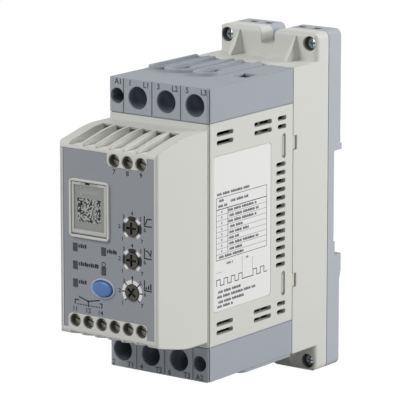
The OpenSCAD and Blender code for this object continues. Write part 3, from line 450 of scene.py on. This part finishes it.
def door_paint(tree):
    """Pale door with a grey panel inside its rim, painted shade in the finger notch in its upper edge and
    painted light on the wall at the left end of its scoop."""
    _, x, _, z = place(tree)
    low, high = node_box("port_door")
    across = within(tree, x, low[0] + DOOR_KNUCKLE + DOOR_RIM, high[0] - DOOR_KNUCKLE - DOOR_RIM)
    along = within(tree, z, low[2] + DOOR_KNUCKLE + DOOR_RIM, high[2] - DOOR_RIM)
    panel = blend(tree, calc(tree, "MULTIPLY", across, along), srgb(194, 195, 193), srgb(152, 154, 152))
    middle = (low[0] + high[0]) / 2
    notch = calc(tree, "MULTIPLY", within(tree, x, middle - 2.0, middle + 0.2),
                 fade(tree, z, (high[2] - 0.85) * MM, (high[2] - 0.75) * MM))
    scoop_end = middle - (high[0] - low[0] - 2 * DOOR_KNUCKLE) / 4
    wall = calc(tree, "MULTIPLY", within(tree, x, scoop_end - 0.04, scoop_end + 0.04, 0.01),
                fade(tree, z, (high[2] - 5.0) * MM, (high[2] - 4.9) * MM))
    # Painted light on the shaded end wall of the scoop
    panel = blend(tree, wall, panel, srgb(246, 246, 244))
    # Painted shade in the finger notch
    return blend(tree, notch, panel, srgb(52, 52, 52))


def film_paint(tree):
    """Grey film with a pale margin along its left edge, set off by a dark line."""
    _, x, _, _ = place(tree)
    left = node_box("front_label")[0][0]
    film = blend(tree, within(tree, x, left + 0.65, left + 1.0), srgb(151, 154, 160), srgb(104, 105, 110))
    return blend(tree, fade(tree, x, (left + 0.68) * MM, (left + 0.62) * MM), film, WHITE)


def knob_paint(tree):
    """Dark plastic, with painted shade, nearly black, down the cross slot."""
    _, _, y, _ = place(tree)
    front = node_box("start_ramp_knob")[0][1]
    slot = fade(tree, y, (front + 0.1) * MM, (front + 0.5) * MM)
    # Painted shade down the cross slot
    return blend(tree, slot, srgb(80, 79, 75), srgb(26, 25, 24))


def board_paint(tree):
    """Green laminate with paler tracks: thin bands of a wave bent by noise."""
    where, _, _, _ = place(tree)
    track = add_node(tree, "ShaderNodeTexWave", {"Vector": where, "Scale": 180.0, "Distortion": 9.0,
                                                 "Detail": 1.0})
    return blend(tree, fade(tree, track.outputs["Fac"], 0.72, 0.8), srgb(84, 140, 106), srgb(118, 168, 132))


def cell_paint(tree):
    """Cells of a square grid, dark or pale by a hash of their row and column."""
    cell = 0.5
    where, _, _, _ = place(tree)
    counted = vector_calc(tree, "MULTIPLY", where, (1 / (cell * MM),) * 3)
    whole = vector_calc(tree, "FLOOR", vector_calc(tree, "ADD", counted, (0.5,) * 3))
    hashed = add_node(tree, "ShaderNodeTexWhiteNoise", {"Vector": whole}, noise_dimensions="3D")
    return blend(tree, fade(tree, hashed.outputs["Value"], 0.54, 0.56), srgb(52, 53, 53), srgb(176, 178, 176))


EVEN = (700.0, 700.0, 700.0)
FINISH = {
    "housing_white": plastic("housing_white", housing_paint, 0.48, mottle=0.03, soft=0.35),
    "rear_white": plastic("rear_white", rear_paint, 0.48, mottle=0.03, soft=0.6),
    "cover_white": plastic("cover_white", cover_paint, 0.48, mottle=0.03, soft=0.6),
    "base_grey": plastic("base_grey", base_paint, 0.8, soft=0.3, gloss=0.1),
    "terminal_grey": plastic("terminal_grey", terminal_paint, 0.8, soft=0.3, gloss=0.1),
    "label_film": plastic("label_film", film_paint, 0.42, 4200.0, 0.006, 0.04, 0.0),
    "paper_label": plastic("paper_label", srgb(233, 233, 232), 0.4, 4200.0, 0.004, 0.02, 0.0),
    "door_white": plastic("door_white", door_paint, 0.42, 3200.0, 0.008, 0.04, 0.15),
    "knob_dark": plastic("knob_dark", knob_paint, 0.42, 2800.0, mottle=0.08, soft=0.15),
    "bezel_grey": plastic("bezel_grey", srgb(178, 188, 202), 0.35, 3000.0, 0.006, 0.04, 0.0),
    "button_blue": plastic("button_blue", srgb(80, 123, 182), 0.22, 3000.0, 0.004, 0.05, 0.0, 0.4),
    "trimmer_blue": plastic("trimmer_blue", srgb(40, 74, 128), 0.4, 2800.0, 0.01, 0.06, 0.2),
    "clip_black": plastic("clip_black", srgb(60, 61, 64), mottle=0.08, soft=0.3),
    "strip_grey": plastic("strip_grey", srgb(92, 90, 86), mottle=0.08, soft=0.2),
    "inner_dark": plastic("inner_dark", srgb(62, 62, 65), 0.45, mottle=0.1, soft=0.3),
    "smoked_guide": plastic("smoked_guide", srgb(60, 61, 66), 0.25, 1500.0, 0.002, 0.1, 0.1, 0.4),
    "lamp_resin": plastic("lamp_resin", srgb(214, 206, 170), 0.25, 1500.0, 0.004, 0.1, 0.1),
    "capacitor_sleeve": plastic("capacitor_sleeve", srgb(30, 44, 84), 0.28, 1800.0, 0.004, 0.1, 0.4),
    "winding_tape": plastic("winding_tape", srgb(198, 162, 62), 0.35, 900.0, 0.01, 0.15, 0.4),
    "board_green": plastic("board_green", board_paint, 0.35, 2600.0, 0.006, 0.1, 0.1),
    "dark_ink": ink("dark_ink", srgb(44, 44, 48)),
    "grey_ink": ink("grey_ink", srgb(72, 76, 84)),
    "pale_print": ink("pale_print", srgb(96, 96, 100)),
    "faint_ink": ink("faint_ink", srgb(118, 118, 122)),
    "pale_ink": ink("pale_ink", srgb(236, 236, 234), 0.05),
    "cell_ink": ink("cell_ink", cell_paint, 0.06),
    "screw_zinc": metal("screw_zinc", srgb(226, 236, 242), 0.4, EVEN, 0.1, metallic=0.5),
    "flange_zinc": metal("flange_zinc", flange_screw_paint, 0.3, EVEN, 0.1, soft=0.0, metallic=0.7),
    "clamp_zinc": metal("clamp_zinc", srgb(186, 192, 200), 0.35, EVEN, 0.15),
    "spring_steel": metal("spring_steel", srgb(176, 178, 182), 0.3, (500.0, 500.0, 2500.0), 0.1),
    "dull_nickel": metal("dull_nickel", srgb(154, 150, 143), 0.5, EVEN, 0.25),
    "tinned_bar": metal("tinned_bar", srgb(118, 116, 110), 0.5, (2600.0, 2600.0, 300.0), 0.2),
    "sink_aluminium": metal("sink_aluminium", srgb(196, 198, 202), 0.4, (2600.0, 2600.0, 90.0), 0.1),
}

FINISHED_NODES = {
    "base_grey": ["rear_base"],
    "rear_white": ["rear_housing"],
    "housing_white": ["main_housing"],
    "cover_white": ["front_cover"],
    "terminal_grey": ["upper_terminal_block", "lower_terminal_block"],
    "paper_label": ["side_label"],
    "label_film": ["front_label"],
    "door_white": ["port_door"],
    "knob_dark": ["start_ramp_knob", "stop_ramp_knob", "start_torque_knob"],
    "button_blue": ["reset_button"],
    "smoked_guide": ["light_guides"],
    "clip_black": ["rail_clip"],
    "spring_steel": ["rail_clip_spring"],
    "screw_zinc": ["base_screws", "power_screws", "supply_screws", "thyristor_screws"],
    "clamp_zinc": ["power_clamps", "supply_clamps"],
    "dull_nickel": ["control_screws", "control_clamps"],
    "strip_grey": ["upper_control_strip", "lower_control_strip"],
    "tinned_bar": ["line_bars", "load_bars", "supply_leads"],
    "board_green": ["power_board", "control_board", "link_board"],
    "inner_dark": ["left_thyristor", "right_thyristor", "left_bypass_relay", "right_bypass_relay",
                   "current_transformers", "reset_switch", "service_socket"],
    "sink_aluminium": ["heatsink"],
    "winding_tape": ["supply_transformer"],
    "capacitor_sleeve": ["filter_capacitors"],
    "trimmer_blue": ["potentiometers"],
    "lamp_resin": ["indicator_lamps"],
}

for finish, nodes in FINISHED_NODES.items():
    for node in nodes:
        mesh = frame["nodes"][node].data
        mesh.materials.clear()
        mesh.materials.append(FINISH[finish])


# Mesh helpers


def piece(name, corners, faces, finish, body):
    """Mesh object from arrays in millimetres, its doubled corners merged, with its finish and body."""
    mesh = bpy.data.meshes.new(name)
    mesh.from_pydata((np.asarray(corners) * MM).tolist(), [], faces.tolist())
    work = bmesh.new()
    work.from_mesh(mesh)
    bmesh.ops.remove_doubles(work, verts=work.verts, dist=0.001 * MM)
    work.to_mesh(mesh)
    work.free()
    mesh.materials.append(FINISH[finish])
    thing = bpy.data.objects.new(name, mesh)
    bpy.context.scene.collection.objects.link(thing)
    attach(thing, body)
    return thing


def grid_faces(rows, columns, wrap=False):
    """Corner numbers of the quads of a grid of points; wrap joins the last column to the first."""
    row = np.arange(rows - 1)[:, None]
    column = np.arange(columns if wrap else columns - 1)[None, :]
    following = (column + 1) % columns
    quads = np.stack([row * columns + column, row * columns + following,
                      (row + 1) * columns + following, (row + 1) * columns + column], axis=-1)
    return quads.reshape(-1, 4)


def ink_layer(thing):
    """Gives a flat piece the thickness of ink, behind its face."""
    layer = thing.modifiers.new("ink", "SOLIDIFY")
    layer.thickness = INK * MM
    layer.offset = -1.0


def print_on(name, patches, finish, body, to_space):
    """Flat patches as one printed piece: each set is an array of grids of flat points, laid on a face."""
    corners, faces, first = [], [], 0
    for patch in patches:
        count, rows, columns = patch.shape[:3]
        start = first + np.arange(count)[:, None, None] * rows * columns
        corners.append(patch.reshape(-1, 2))
        faces.append((start + grid_faces(rows, columns)).reshape(-1, 4))
        first += count * rows * columns
    ink_layer(piece(name, to_space(np.concatenate(corners)), np.concatenate(faces), finish, body))


def figures_on(name, marks, height, finish, body, to_space):
    """Plain figures as one printed piece; each mark is its text and the middle of its place."""
    corners, faces, first = [], [], 0
    for text, across, up in marks:
        curve = bpy.data.curves.new(name, "FONT")
        curve.body = text
        curve.align_x, curve.align_y = "CENTER", "CENTER"
        curve.size = height * FIGURE_SIZE
        curve.offset = FIGURE_GAIN * height
        carrier = bpy.data.objects.new(name, curve)
        mesh = bpy.data.meshes.new_from_object(carrier)
        mesh.calc_loop_triangles()
        flat = np.empty(len(mesh.vertices) * 3)
        mesh.vertices.foreach_get("co", flat)
        triangles = np.empty(len(mesh.loop_triangles) * 3, dtype=np.int32)
        mesh.loop_triangles.foreach_get("vertices", triangles)
        corners.append(flat.reshape(-1, 3)[:, :2] + np.array([across, up]))
        faces.append(triangles.reshape(-1, 3) + first)
        first += len(mesh.vertices)
        bpy.data.objects.remove(carrier)
        bpy.data.meshes.remove(mesh)
        bpy.data.curves.remove(curve)
    ink_layer(piece(name, to_space(np.concatenate(corners)), np.concatenate(faces), finish, body))


def on_front(depth):
    """Lays flat points on a face that looks towards the front."""
    return lambda flat: np.column_stack([flat[:, 0], np.full(len(flat), depth - INK), flat[:, 1]])


def on_side(flat):
    """Lays flat points on the right-hand label, the first value being depth."""
    return np.column_stack([np.full(len(flat), SIDE_FACE + INK), flat[:, 0], flat[:, 1]])


# Flat shapes, each an array of patches: patch, row, column, then across and up

GOLDEN_PART = 0.618034


def bars(x0, x1, z0, z1):
    """Upright rectangles: each corner takes one of the two edges across and one of the two edges up."""
    edges = [np.atleast_1d(np.asarray(edge, float)) for edge in (x0, x1, z1, z0)]
    left, right, top, foot = np.broadcast_arrays(*edges)
    across = np.stack([left, right], axis=-1)[:, :, None]
    up = np.stack([top, foot], axis=-1)[:, None, :]
    return np.stack(np.broadcast_arrays(across, up), axis=-1)


def band(points, width):
    """Line of even width: each point goes half the width to either side along its mitre, the sum of the
    normals of its two stretches over one plus their dot product."""
    line = np.asarray(points, float)
    way = np.diff(line, axis=0)
    way /= np.linalg.norm(way, axis=1)[:, None]
    normal = np.column_stack([-way[:, 1], way[:, 0]])
    before = np.concatenate([normal[:1], normal])
    after = np.concatenate([normal, normal[-1:]])
    mitre = (before + after) / (1 + np.sum(before * after, axis=1))[:, None]
    return np.stack([line + mitre * width / 2, line - mitre * width / 2], axis=1)[None]


def sectors(centre, inner, outer, middles, half):
    """Parts of a ring: the angle, clockwise from the top, runs along each patch and the radius across it."""
    turn = np.radians(np.asarray(middles, float)[:, None] + np.linspace(-half, half, 13))
    way = np.stack([np.sin(turn), np.cos(turn)], axis=-1)
    return np.asarray(centre) + np.array([[outer], [inner]]) * way[:, :, None, :]


def words(x0, length, z, height, gap=0.12):
    """Line of small print as upright strokes: stroke n stands n pitches along, and the fractional part of n
    times the golden ratio gives its width and height; where that part is under the share of gaps, no stroke
    stands, apart from the first."""
    pitch = 0.62 * height
    step = np.arange(max(int(length / pitch), 2))
    share = step * GOLDEN_PART % 1.0
    left = x0 + step * pitch
    right = left + pitch * (0.7 + 0.22 * share)
    top = z + height * np.where(share > 0.5, 0.5, 0.3)
    kept = (share > gap) | (step == 0)
    return bars(left[kept], right[kept], z - height / 2, top[kept])


# Print on the front label

DIAL_TURNS = np.arange(-135, 136, 45)
SYMBOL_LINE = 0.48


def dial_rings():
    """Dark and pale parts of the rings round the knobs: four pale marks on the upper two, and a pale ring cut
    by seven ticks on the lowest."""
    inner, outer = 3.1, 4.35
    dark = [sectors(centre, inner, outer, (-90, 0, 90), 25) for centre in KNOBS[:2]]
    pale = [sectors(centre, inner, outer, (-135, -45, 45, 135), 13) for centre in KNOBS[:2]]
    pale.append(sectors(KNOBS[2], inner, 4.5, DIAL_TURNS[:-1] + 22.5, 18.5))
    dark.append(sectors(KNOBS[2], 3.2, 4.8, DIAL_TURNS, 2.5))
    return dark, pale


def dial_figures():
    """Figures 1 to 7 round each knob, 45 degrees apart, standing further out towards the lower ends."""
    reach = np.interp(np.abs(DIAL_TURNS), (45, 90, 135), (5.35, 5.65, 6.2))
    across = reach * np.sin(np.radians(DIAL_TURNS))
    up = reach * np.cos(np.radians(DIAL_TURNS))
    steps = range(len(DIAL_TURNS))
    return [(str(step + 1), x + across[step], z + up[step]) for x, z in KNOBS for step in steps]


def ramp_symbols():
    """Small axes beside each knob, with a rising line, a falling line and growing bars."""
    left, right, height, lift = 16.5, 19.8, 3.8, 1.5
    inside = left + 0.5
    feet = [z + lift for _, z in KNOBS]
    lines = [band([(left, foot + height), (left, foot), (right, foot)], SYMBOL_LINE) for foot in feet]
    rising = ((inside, 0.6), (17.7, 2.6), (right, 2.8))
    falling = ((inside, 2.8), (17.9, 2.8), (19.3, 1.2), (19.5, 3.4))
    lines.append(band(np.add(rising, (0.0, feet[0])), SYMBOL_LINE))
    lines.append(band(np.add(falling, (0.0, feet[1])), SYMBOL_LINE))
    lefts = inside + np.arange(3)
    lines.append(bars(lefts, lefts + 0.6, feet[2] + 0.5, feet[2] + 1.3 + 0.7 * np.arange(3)))
    return lines


def lamp_captions():
    """Lines of small print beside the lamp windows, and the ring over the lower right one."""
    places = ((-13.4, 4.5, -2.2), (-13.4, 10.2, -8.8), (-13.4, 4.6, -15.5), (-0.4, 5.0, -2.5))
    ring = sectors((-1.92, -7.7), 0.65, 0.98, (-90, 90), 90)
    return [words(x, length, z, 1.5, 0.0) for x, length, z in places] + [ring]


def contact_symbol():
    """Changeover contact over the lower terminals: two fixed contacts, two arms from a dot, and a dashed
    link."""
    paths = (
        ((-15.1, -24.1), (-15.1, -22.4), (-13.3, -22.4)),
        ((-13.4, -21.1), (-9.4, -22.3)),
        ((-9.05, -22.9), (-9.0, -24.5)),
        ((-8.7, -22.3), (-3.9, -21.3)),
        ((-3.9, -22.5), (-2.8, -22.5), (-2.9, -24.2)),
    )
    dot = sectors((-9.1, -22.4), 0.0, 0.5, (-90, 90), 90)
    starts = np.arange(-14.0, -4.2, 1.2)
    dashes = bars(starts, starts + 0.75, -24.15, -23.75)
    return [band(path, SYMBOL_LINE) for path in paths] + [dot, dashes]


CONTROL_FIGURES = [("11", -15.1, -25.9), ("12", -9.15, -25.9), ("14", -3.5, -26.0)]
CONTROL_FIGURES += [(str(7 + step), CONTROLS[3 + step], 26.9) for step in range(3)]
label_face = on_front(LABEL_FACE)
dial_dark, dial_pale = dial_rings()
front_lines = dial_dark + ramp_symbols() + lamp_captions() + contact_symbol()
print_on("front_print", front_lines, "dark_ink", "housing", label_face)
print_on("dial_print", dial_pale, "pale_ink", "housing", label_face)
figures_on("dial_figures", dial_figures(), 1.5, "dark_ink", "housing", label_face)
figures_on("control_figures", CONTROL_FIGURES, 1.8, "dark_ink", "housing", label_face)

door_panel = on_front(node_box("port_door")[0][1] + PANEL_DROP)
print_on("code_patch", [bars(-13.5, -2.95, 7.0, 15.6)], "cell_ink", "door", door_panel)


# Marks on the terminal blocks


def pole_marks():
    """Plain terminal marks near the outer edges of both blocks: a number left of each pole and a letter
    right of it; the lower block is the upper one turned half round."""
    marks = [("A1", SUPPLY + 0.6, 53.2), ("A2", -SUPPLY, -53.2)]
    for step, (x, _) in enumerate(POLES):
        marks += [(str(2 * step + 1), x - 3.5, 53.1), (f"L{step + 1}", x + 3.9, 53.0)]
    for step, (x, _) in enumerate(reversed(POLES)):
        marks += [(str(2 * step + 2), -x - 4.2, -53.2), (f"T{step + 1}", -x + 3.7, -53.2)]
    return marks


figures_on("pole_marks", pole_marks(), 2.1, "grey_ink", "housing", on_front(BODY_FRONT))


# Print on the side label

TABLE_LEFT, TABLE_RIGHT = -76.4, -44.6
TABLE_TOP, HEADER_FOOT, ROW_PITCH, ROWS = 13.4, 9.05, 2.094, 9
TABLE_FOOT = HEADER_FOOT - ROW_PITCH * ROWS
COLUMN_RULE = -69.2
OUTLINE_WIDTH, HEADER_HALF, COLUMN_HALF, ROW_HALF = 0.2, 0.15, 0.12, 0.07
INNER_LEFT, INNER_RIGHT = TABLE_LEFT + OUTLINE_WIDTH / 2, TABLE_RIGHT - OUTLINE_WIDTH / 2
PULSE_LOW, PULSE_HIGH, PULSE_LENGTH = -19.4, -17.1, 2.3


def side_table():
    """Ruled table: its outline, the line under its header and the upright rule of its first column."""
    middle = (TABLE_LEFT + TABLE_RIGHT) / 2
    outline = [(middle, TABLE_TOP), (TABLE_RIGHT, TABLE_TOP), (TABLE_RIGHT, TABLE_FOOT),
               (TABLE_LEFT, TABLE_FOOT), (TABLE_LEFT, TABLE_TOP), (middle, TABLE_TOP)]
    header = bars(INNER_LEFT, INNER_RIGHT, HEADER_FOOT - HEADER_HALF, HEADER_FOOT + HEADER_HALF)
    upright_top, upright_foot = HEADER_FOOT - HEADER_HALF, TABLE_FOOT + ROW_PITCH + OUTLINE_WIDTH / 2
    upright = bars(COLUMN_RULE - COLUMN_HALF, COLUMN_RULE + COLUMN_HALF, upright_foot, upright_top)
    return [band(outline, OUTLINE_WIDTH), header, upright]


def row_rules():
    """Thin lines between the rows, in two stretches that stop at the upright rule."""
    levels = HEADER_FOOT - ROW_PITCH * np.arange(1, ROWS)
    left = bars(INNER_LEFT, COLUMN_RULE - COLUMN_HALF, levels - ROW_HALF, levels + ROW_HALF)
    right = bars(COLUMN_RULE + COLUMN_HALF, INNER_RIGHT, levels - ROW_HALF, levels + ROW_HALF)
    return [left, right]


def pulse_train():
    """Square wave: four pulses, a low stretch, then two pulses."""
    starts = np.array([-76.2, -71.6, -67.0, -62.4, -53.2, -48.5])
    ends = starts + PULSE_LENGTH
    across = np.stack([starts, starts, ends, ends], axis=-1).reshape(-1)
    up = np.tile([PULSE_LOW, PULSE_HIGH, PULSE_HIGH, PULSE_LOW], len(starts))
    points = np.column_stack([across, up])
    return band(np.concatenate([points, [[-44.2, PULSE_LOW]]]), 0.32)


def timing_lines():
    """Thin uprights and a short level line over the square wave."""
    uprights = bars([-60.2, -53.6], [-60.05, -53.45], -16.9, [-10.9, -12.1])
    return [uprights, bars(-76.3, -72.7, -14.55, -14.4)]


def side_words():
    """Lines of small print over the table, in its header and rows, and at the label's foot."""
    starts = (-69.0, -68.3, -69.0, -67.9, -68.4, -68.4, -68.4, -68.2, -74.8)
    lengths = (18.5, 19.0, 18.0, 8.8, 12.6, 6.2, 19.2, 9.2, 15.7)
    levels = HEADER_FOOT - ROW_PITCH * (np.arange(ROWS) + 0.5)
    lines = [words(start, length, z, 1.0) for start, length, z in zip(starts, lengths, levels)]
    others = ((-76.1, 21.0, 14.75), (-74.8, 4.2, 12.3), (-75.2, 5.6, 10.3), (-67.5, 11.5, 11.3),
              (-75.3, 14.3, -21.75), (-75.8, 24.9, -23.6), (-75.1, 16.3, -25.55), (-75.8, 10.1, -27.25))
    return lines + [words(start, length, z, 1.0) for start, length, z in others]


def faint_words():
    """Short pale words beside the timing lines, and the row numbers."""
    levels = HEADER_FOOT - ROW_PITCH * (np.arange(ROWS - 1) + 0.5)
    numbers = bars(-73.3, -72.7, levels - 0.4, levels + 0.4)
    return [words(-70.0, 4.4, -11.7, 0.9), words(-57.8, 2.0, -11.6, 0.9), numbers]


print_on("side_rules", side_table() + [pulse_train()], "dark_ink", "housing", on_side)
print_on("side_lines", side_words(), "pale_print", "housing", on_side)
side_hints = row_rules() + timing_lines() + faint_words()
print_on("side_hints", side_hints, "faint_ink", "housing", on_side)


# Reset button


def oval_skin(name, centre, profile, finish, body):
    """Closed skin of oval rings: each station of the profile gives the two half lengths and the depth of one
    ring, and a half length of zero closes the skin in a point."""
    turn = np.linspace(0, 2 * np.pi, 72, endpoint=False)
    x = centre[0] + profile[:, 0:1] * np.cos(turn)
    z = centre[1] + profile[:, 1:2] * np.sin(turn)
    y = np.broadcast_to(profile[:, 2:3], x.shape)
    corners = np.stack([x, y, z], axis=-1).reshape(-1, 3)
    skin = piece(name, corners, grid_faces(len(profile), len(turn), wrap=True), finish, body)
    skin.data.shade_smooth()
    skin.data.set_sharp_from_angle(angle=np.radians(40))
    return skin


def button_cap():
    """Blue push button: a crowned top, whose depth grows with the square of the way out, a rim rolled over a
    quarter round, straight sides, a collar and a stem."""
    low, high = node_box("reset_button")
    collar, collar_depth, rim, crown_rise, stem = 1.0, 1.2, 0.9, 0.25, 1.5
    half = (high - low)[[0, 2]] / 2 - collar
    front, tail, ledge = low[1], high[1], LABEL_FACE + 1.95
    share = np.linspace(0.0, 1.0, 8)[:, None]
    crown = np.column_stack([share * (half - rim), front + crown_rise * share ** 2])
    roll = np.radians(np.linspace(0, 90, 9))[1:, None]
    edge = np.column_stack([half - rim + rim * np.sin(roll), front + crown_rise + rim * (1 - np.cos(roll))])
    rest = np.array([[*half, ledge], [*(half + collar), ledge], [*(half + collar), ledge + collar_depth],
                     [stem, stem, ledge + collar_depth], [stem, stem, tail], [0.0, 0.0, tail]])
    profile = np.concatenate([crown, edge, rest])
    centre = node_middle("reset_button")
    return oval_skin("button_cap", centre, profile, "button_blue", "reset")


def button_bezel():
    """Raised rim round the button: a ring whose section climbs in a quarter round from its outer foot to
    its top and drops inside."""
    foot, height = LABEL_FACE, 0.55
    inner, top, outer = np.array([4.7, 3.12]), np.array([5.05, 3.45]), np.array([5.5, 3.8])
    lift = np.radians(np.linspace(0, 90, 7))[:, None]
    fall = np.column_stack([top + (outer - top) * np.sin(lift), foot - height * np.cos(lift)])
    section = np.concatenate([[[*inner, foot], [*inner, foot - 0.7 * height]], fall, [[*inner, foot]]])
    centre = node_middle("reset_button")
    return oval_skin("button_bezel", centre, section, "bezel_grey", "housing")


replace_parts(button_cap(), "reset_button")
button_bezel()


# Flange screws


def flange_screws():
    """Four domed screws: rings round each axis, whose depth grows from the crown with the square of the
    radius, and by a cross where one of two square distances is less than the half width of a slot and the
    other less than its reach; then the straight edge of the head, its underside and the shank."""
    crown, rim, slot_depth, slope = 1.5, 0.7, 0.9, 0.18
    head_top, shank_end = node_box("base_screws")[0][1], node_box("base_screws")[1][1]
    head_foot, shank = head_top + 2.1, 1.5
    turn = np.linspace(0, 2 * np.pi, 96, endpoint=False)
    radius = np.linspace(0, HEAD_RADIUS, 28)
    wide, tall = radius[:, None] * np.cos(turn), radius[:, None] * np.sin(turn)
    near, far = np.minimum(np.abs(wide), np.abs(tall)), np.maximum(np.abs(wide), np.abs(tall))
    sunk = np.clip((SLOT_HALF - near) / slope + 0.5, 0, 1) * np.clip((SLOT_REACH - far) / slope + 0.5, 0, 1)
    dome = head_top - crown + (crown - rim) * (radius[:, None] / HEAD_RADIUS) ** 2 + slot_depth * sunk
    ring_radius = np.array([HEAD_RADIUS, shank, shank, 0.0])
    ring_depth = np.array([head_foot, head_foot, shank_end, shank_end])
    wide = np.concatenate([wide, ring_radius[:, None] * np.cos(turn)])
    tall = np.concatenate([tall, ring_radius[:, None] * np.sin(turn)])
    depth = np.concatenate([dome, np.broadcast_to(ring_depth[:, None], (len(ring_depth), len(turn)))])
    one = np.stack([wide, depth, tall], axis=-1).reshape(-1, 3)
    signs = np.array([(1, 1), (1, -1), (-1, 1), (-1, -1)])
    centres = np.insert(signs * FLANGE_SCREW, 1, 0.0, axis=1)
    corners = (one[None] + centres[:, None]).reshape(-1, 3)
    faces = grid_faces(len(wide), len(turn), wrap=True)
    faces = (faces[None] + len(one) * np.arange(len(centres))[:, None, None]).reshape(-1, 4)
    screws = piece("flange_screws", corners, faces, "flange_zinc", "housing")
    screws.data.shade_smooth()
    screws.data.set_sharp_from_angle(angle=np.radians(40))
    return screws


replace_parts(flange_screws(), "base_screws")


# Spring of the rail clip

SPRING_LOW, SPRING_HIGH = node_box("rail_clip_spring")
SPRING_WIRE = 0.42
SPRING_TURNS = 7


def clip_spring():
    """Coil of round wire: a circle as wide as the wire is carried round the coil and up from end to end,
    and a circle of no width closes each end."""
    steps, sides = 36 * SPRING_TURNS, 12
    share = np.concatenate([[0.0], np.linspace(0.0, 1.0, steps + 1), [1.0]])[:, None]
    wire = np.full_like(share, SPRING_WIRE)
    wire[[0, -1]] = 0.0
    lean = np.linspace(0, 2 * np.pi, sides, endpoint=False)
    turn = 2 * np.pi * SPRING_TURNS * share
    foot, head = SPRING_LOW[2] + SPRING_WIRE, SPRING_HIGH[2] - SPRING_WIRE
    out = SPRING_HIGH[0] - SPRING_WIRE + wire * np.cos(lean)
    axis_depth = (SPRING_LOW[1] + SPRING_HIGH[1]) / 2
    up = foot + (head - foot) * share + wire * np.sin(lean)
    corners = np.stack([out * np.cos(turn), axis_depth + out * np.sin(turn), up], axis=-1).reshape(-1, 3)
    faces = grid_faces(len(share), sides, wrap=True)[:, ::-1]
    spring = piece("clip_spring", corners, faces, "spring_steel", "housing")
    spring.data.shade_smooth()
    spring.data.set_sharp_from_angle(angle=np.radians(60))
    return spring


spring = clip_spring()
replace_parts(spring, "rail_clip_spring")
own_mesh(spring)


# Studio


def seen_share(tree):
    """One for the rays of the camera, of glossy surfaces and of glass, and nought for all others."""
    ray = tree.nodes.new("ShaderNodeLightPath")
    seen = calc(tree, "MAXIMUM", ray.outputs["Is Camera Ray"], ray.outputs["Is Glossy Ray"])
    return calc(tree, "MAXIMUM", seen, ray.outputs["Is Transmission Ray"])


def add_floor(level, reach, grey, glow, share):
    """Square floor: a share of it glows white to the camera, to gloss and through glass, and the rest is its
    own matt grey, which keeps the shadow."""
    corners = [(-reach, -reach, level), (reach, -reach, level), (reach, reach, level), (-reach, reach, level)]
    mesh = bpy.data.meshes.new("floor")
    mesh.from_pydata(corners, [], [(0, 1, 2, 3)])
    thing = bpy.data.objects.new("floor", mesh)
    bpy.context.scene.collection.objects.link(thing)
    material = bpy.data.materials.new("floor")
    material.use_nodes = True
    tree = material.node_tree
    tree.nodes.clear()
    matt = add_node(tree, "ShaderNodeBsdfDiffuse", {"Color": (grey, grey, grey, 1.0)})
    white = add_node(tree, "ShaderNodeEmission", {"Color": (1.0, 1.0, 1.0, 1.0), "Strength": glow})
    part = calc(tree, "MULTIPLY", seen_share(tree), share)
    mix = add_node(tree, "ShaderNodeMixShader", {0: part, 1: matt.outputs[0], 2: white.outputs[0]})
    output = tree.nodes.new("ShaderNodeOutputMaterial")
    tree.links.new(mix.outputs[0], output.inputs["Surface"])
    mesh.materials.append(material)


def add_light(name, spot, aim, size, power):
    """Square soft light at a spot, looking at an aim point, all in metres."""
    data = bpy.data.lights.new(name, "AREA")
    data.size, data.energy = size, power
    lamp = bpy.data.objects.new(name, data)
    bpy.context.scene.collection.objects.link(lamp)
    spot, aim = np.array(spot), np.array(aim)
    back = (spot - aim) / np.linalg.norm(spot - aim)
    right = np.cross((0.0, 0.0, 1.0), back)
    right /= np.linalg.norm(right)
    turn = np.column_stack([right, np.cross(back, right), back, spot])
    lamp.matrix_world = Matrix(turn.tolist() + [[0, 0, 0, 1]])


def add_camera():
    """Long lens from the right of the front and a little above."""
    data = bpy.data.cameras.new("camera")
    data.sensor_width, data.lens = 36.0, 302.0
    data.clip_end = 50.0
    camera = bpy.data.objects.new("camera", data)
    bpy.context.scene.collection.objects.link(camera)
    right = (0.8072, 0.5903, 0.0)
    up = (-0.1231, 0.1684, 0.9780)
    back = (0.5773, -0.7894, 0.2086)
    eye = (0.72045, -1.04094, 0.26699)
    camera.matrix_world = Matrix(np.column_stack([right, up, back, eye]).tolist() + [[0, 0, 0, 1]])
    bpy.context.scene.camera = camera


def add_world(strength):
    """Even pale surround: white to the camera, to gloss and through glass, weaker as light."""
    world = bpy.data.worlds.new("surround")
    bpy.context.scene.world = world
    world.use_nodes = True
    tree = world.node_tree
    tree.nodes.clear()
    level = calc(tree, "MULTIPLY_ADD", seen_share(tree), 1.0 - strength, strength)
    light = add_node(tree, "ShaderNodeBackground", {"Color": (1.0, 1.0, 1.0, 1.0), "Strength": level})
    output = tree.nodes.new("ShaderNodeOutputWorld")
    tree.links.new(light.outputs[0], output.inputs["Surface"])


floor_gap = 0.0005
add_floor(float(cad_low[2]) - floor_gap, reach=4.0, grey=0.52, glow=1.08, share=0.92)
add_camera()
add_world(strength=0.31)
aim = (0.0, -0.05, 0.0)
add_light("key_light", (1.0, 0.8, 0.42), aim, size=0.6, power=14.4)
add_light("front_light", (-0.4, -1.05, 1.05), aim, size=0.8, power=12.2)
bpy.context.scene.view_settings.view_transform = "Standard"
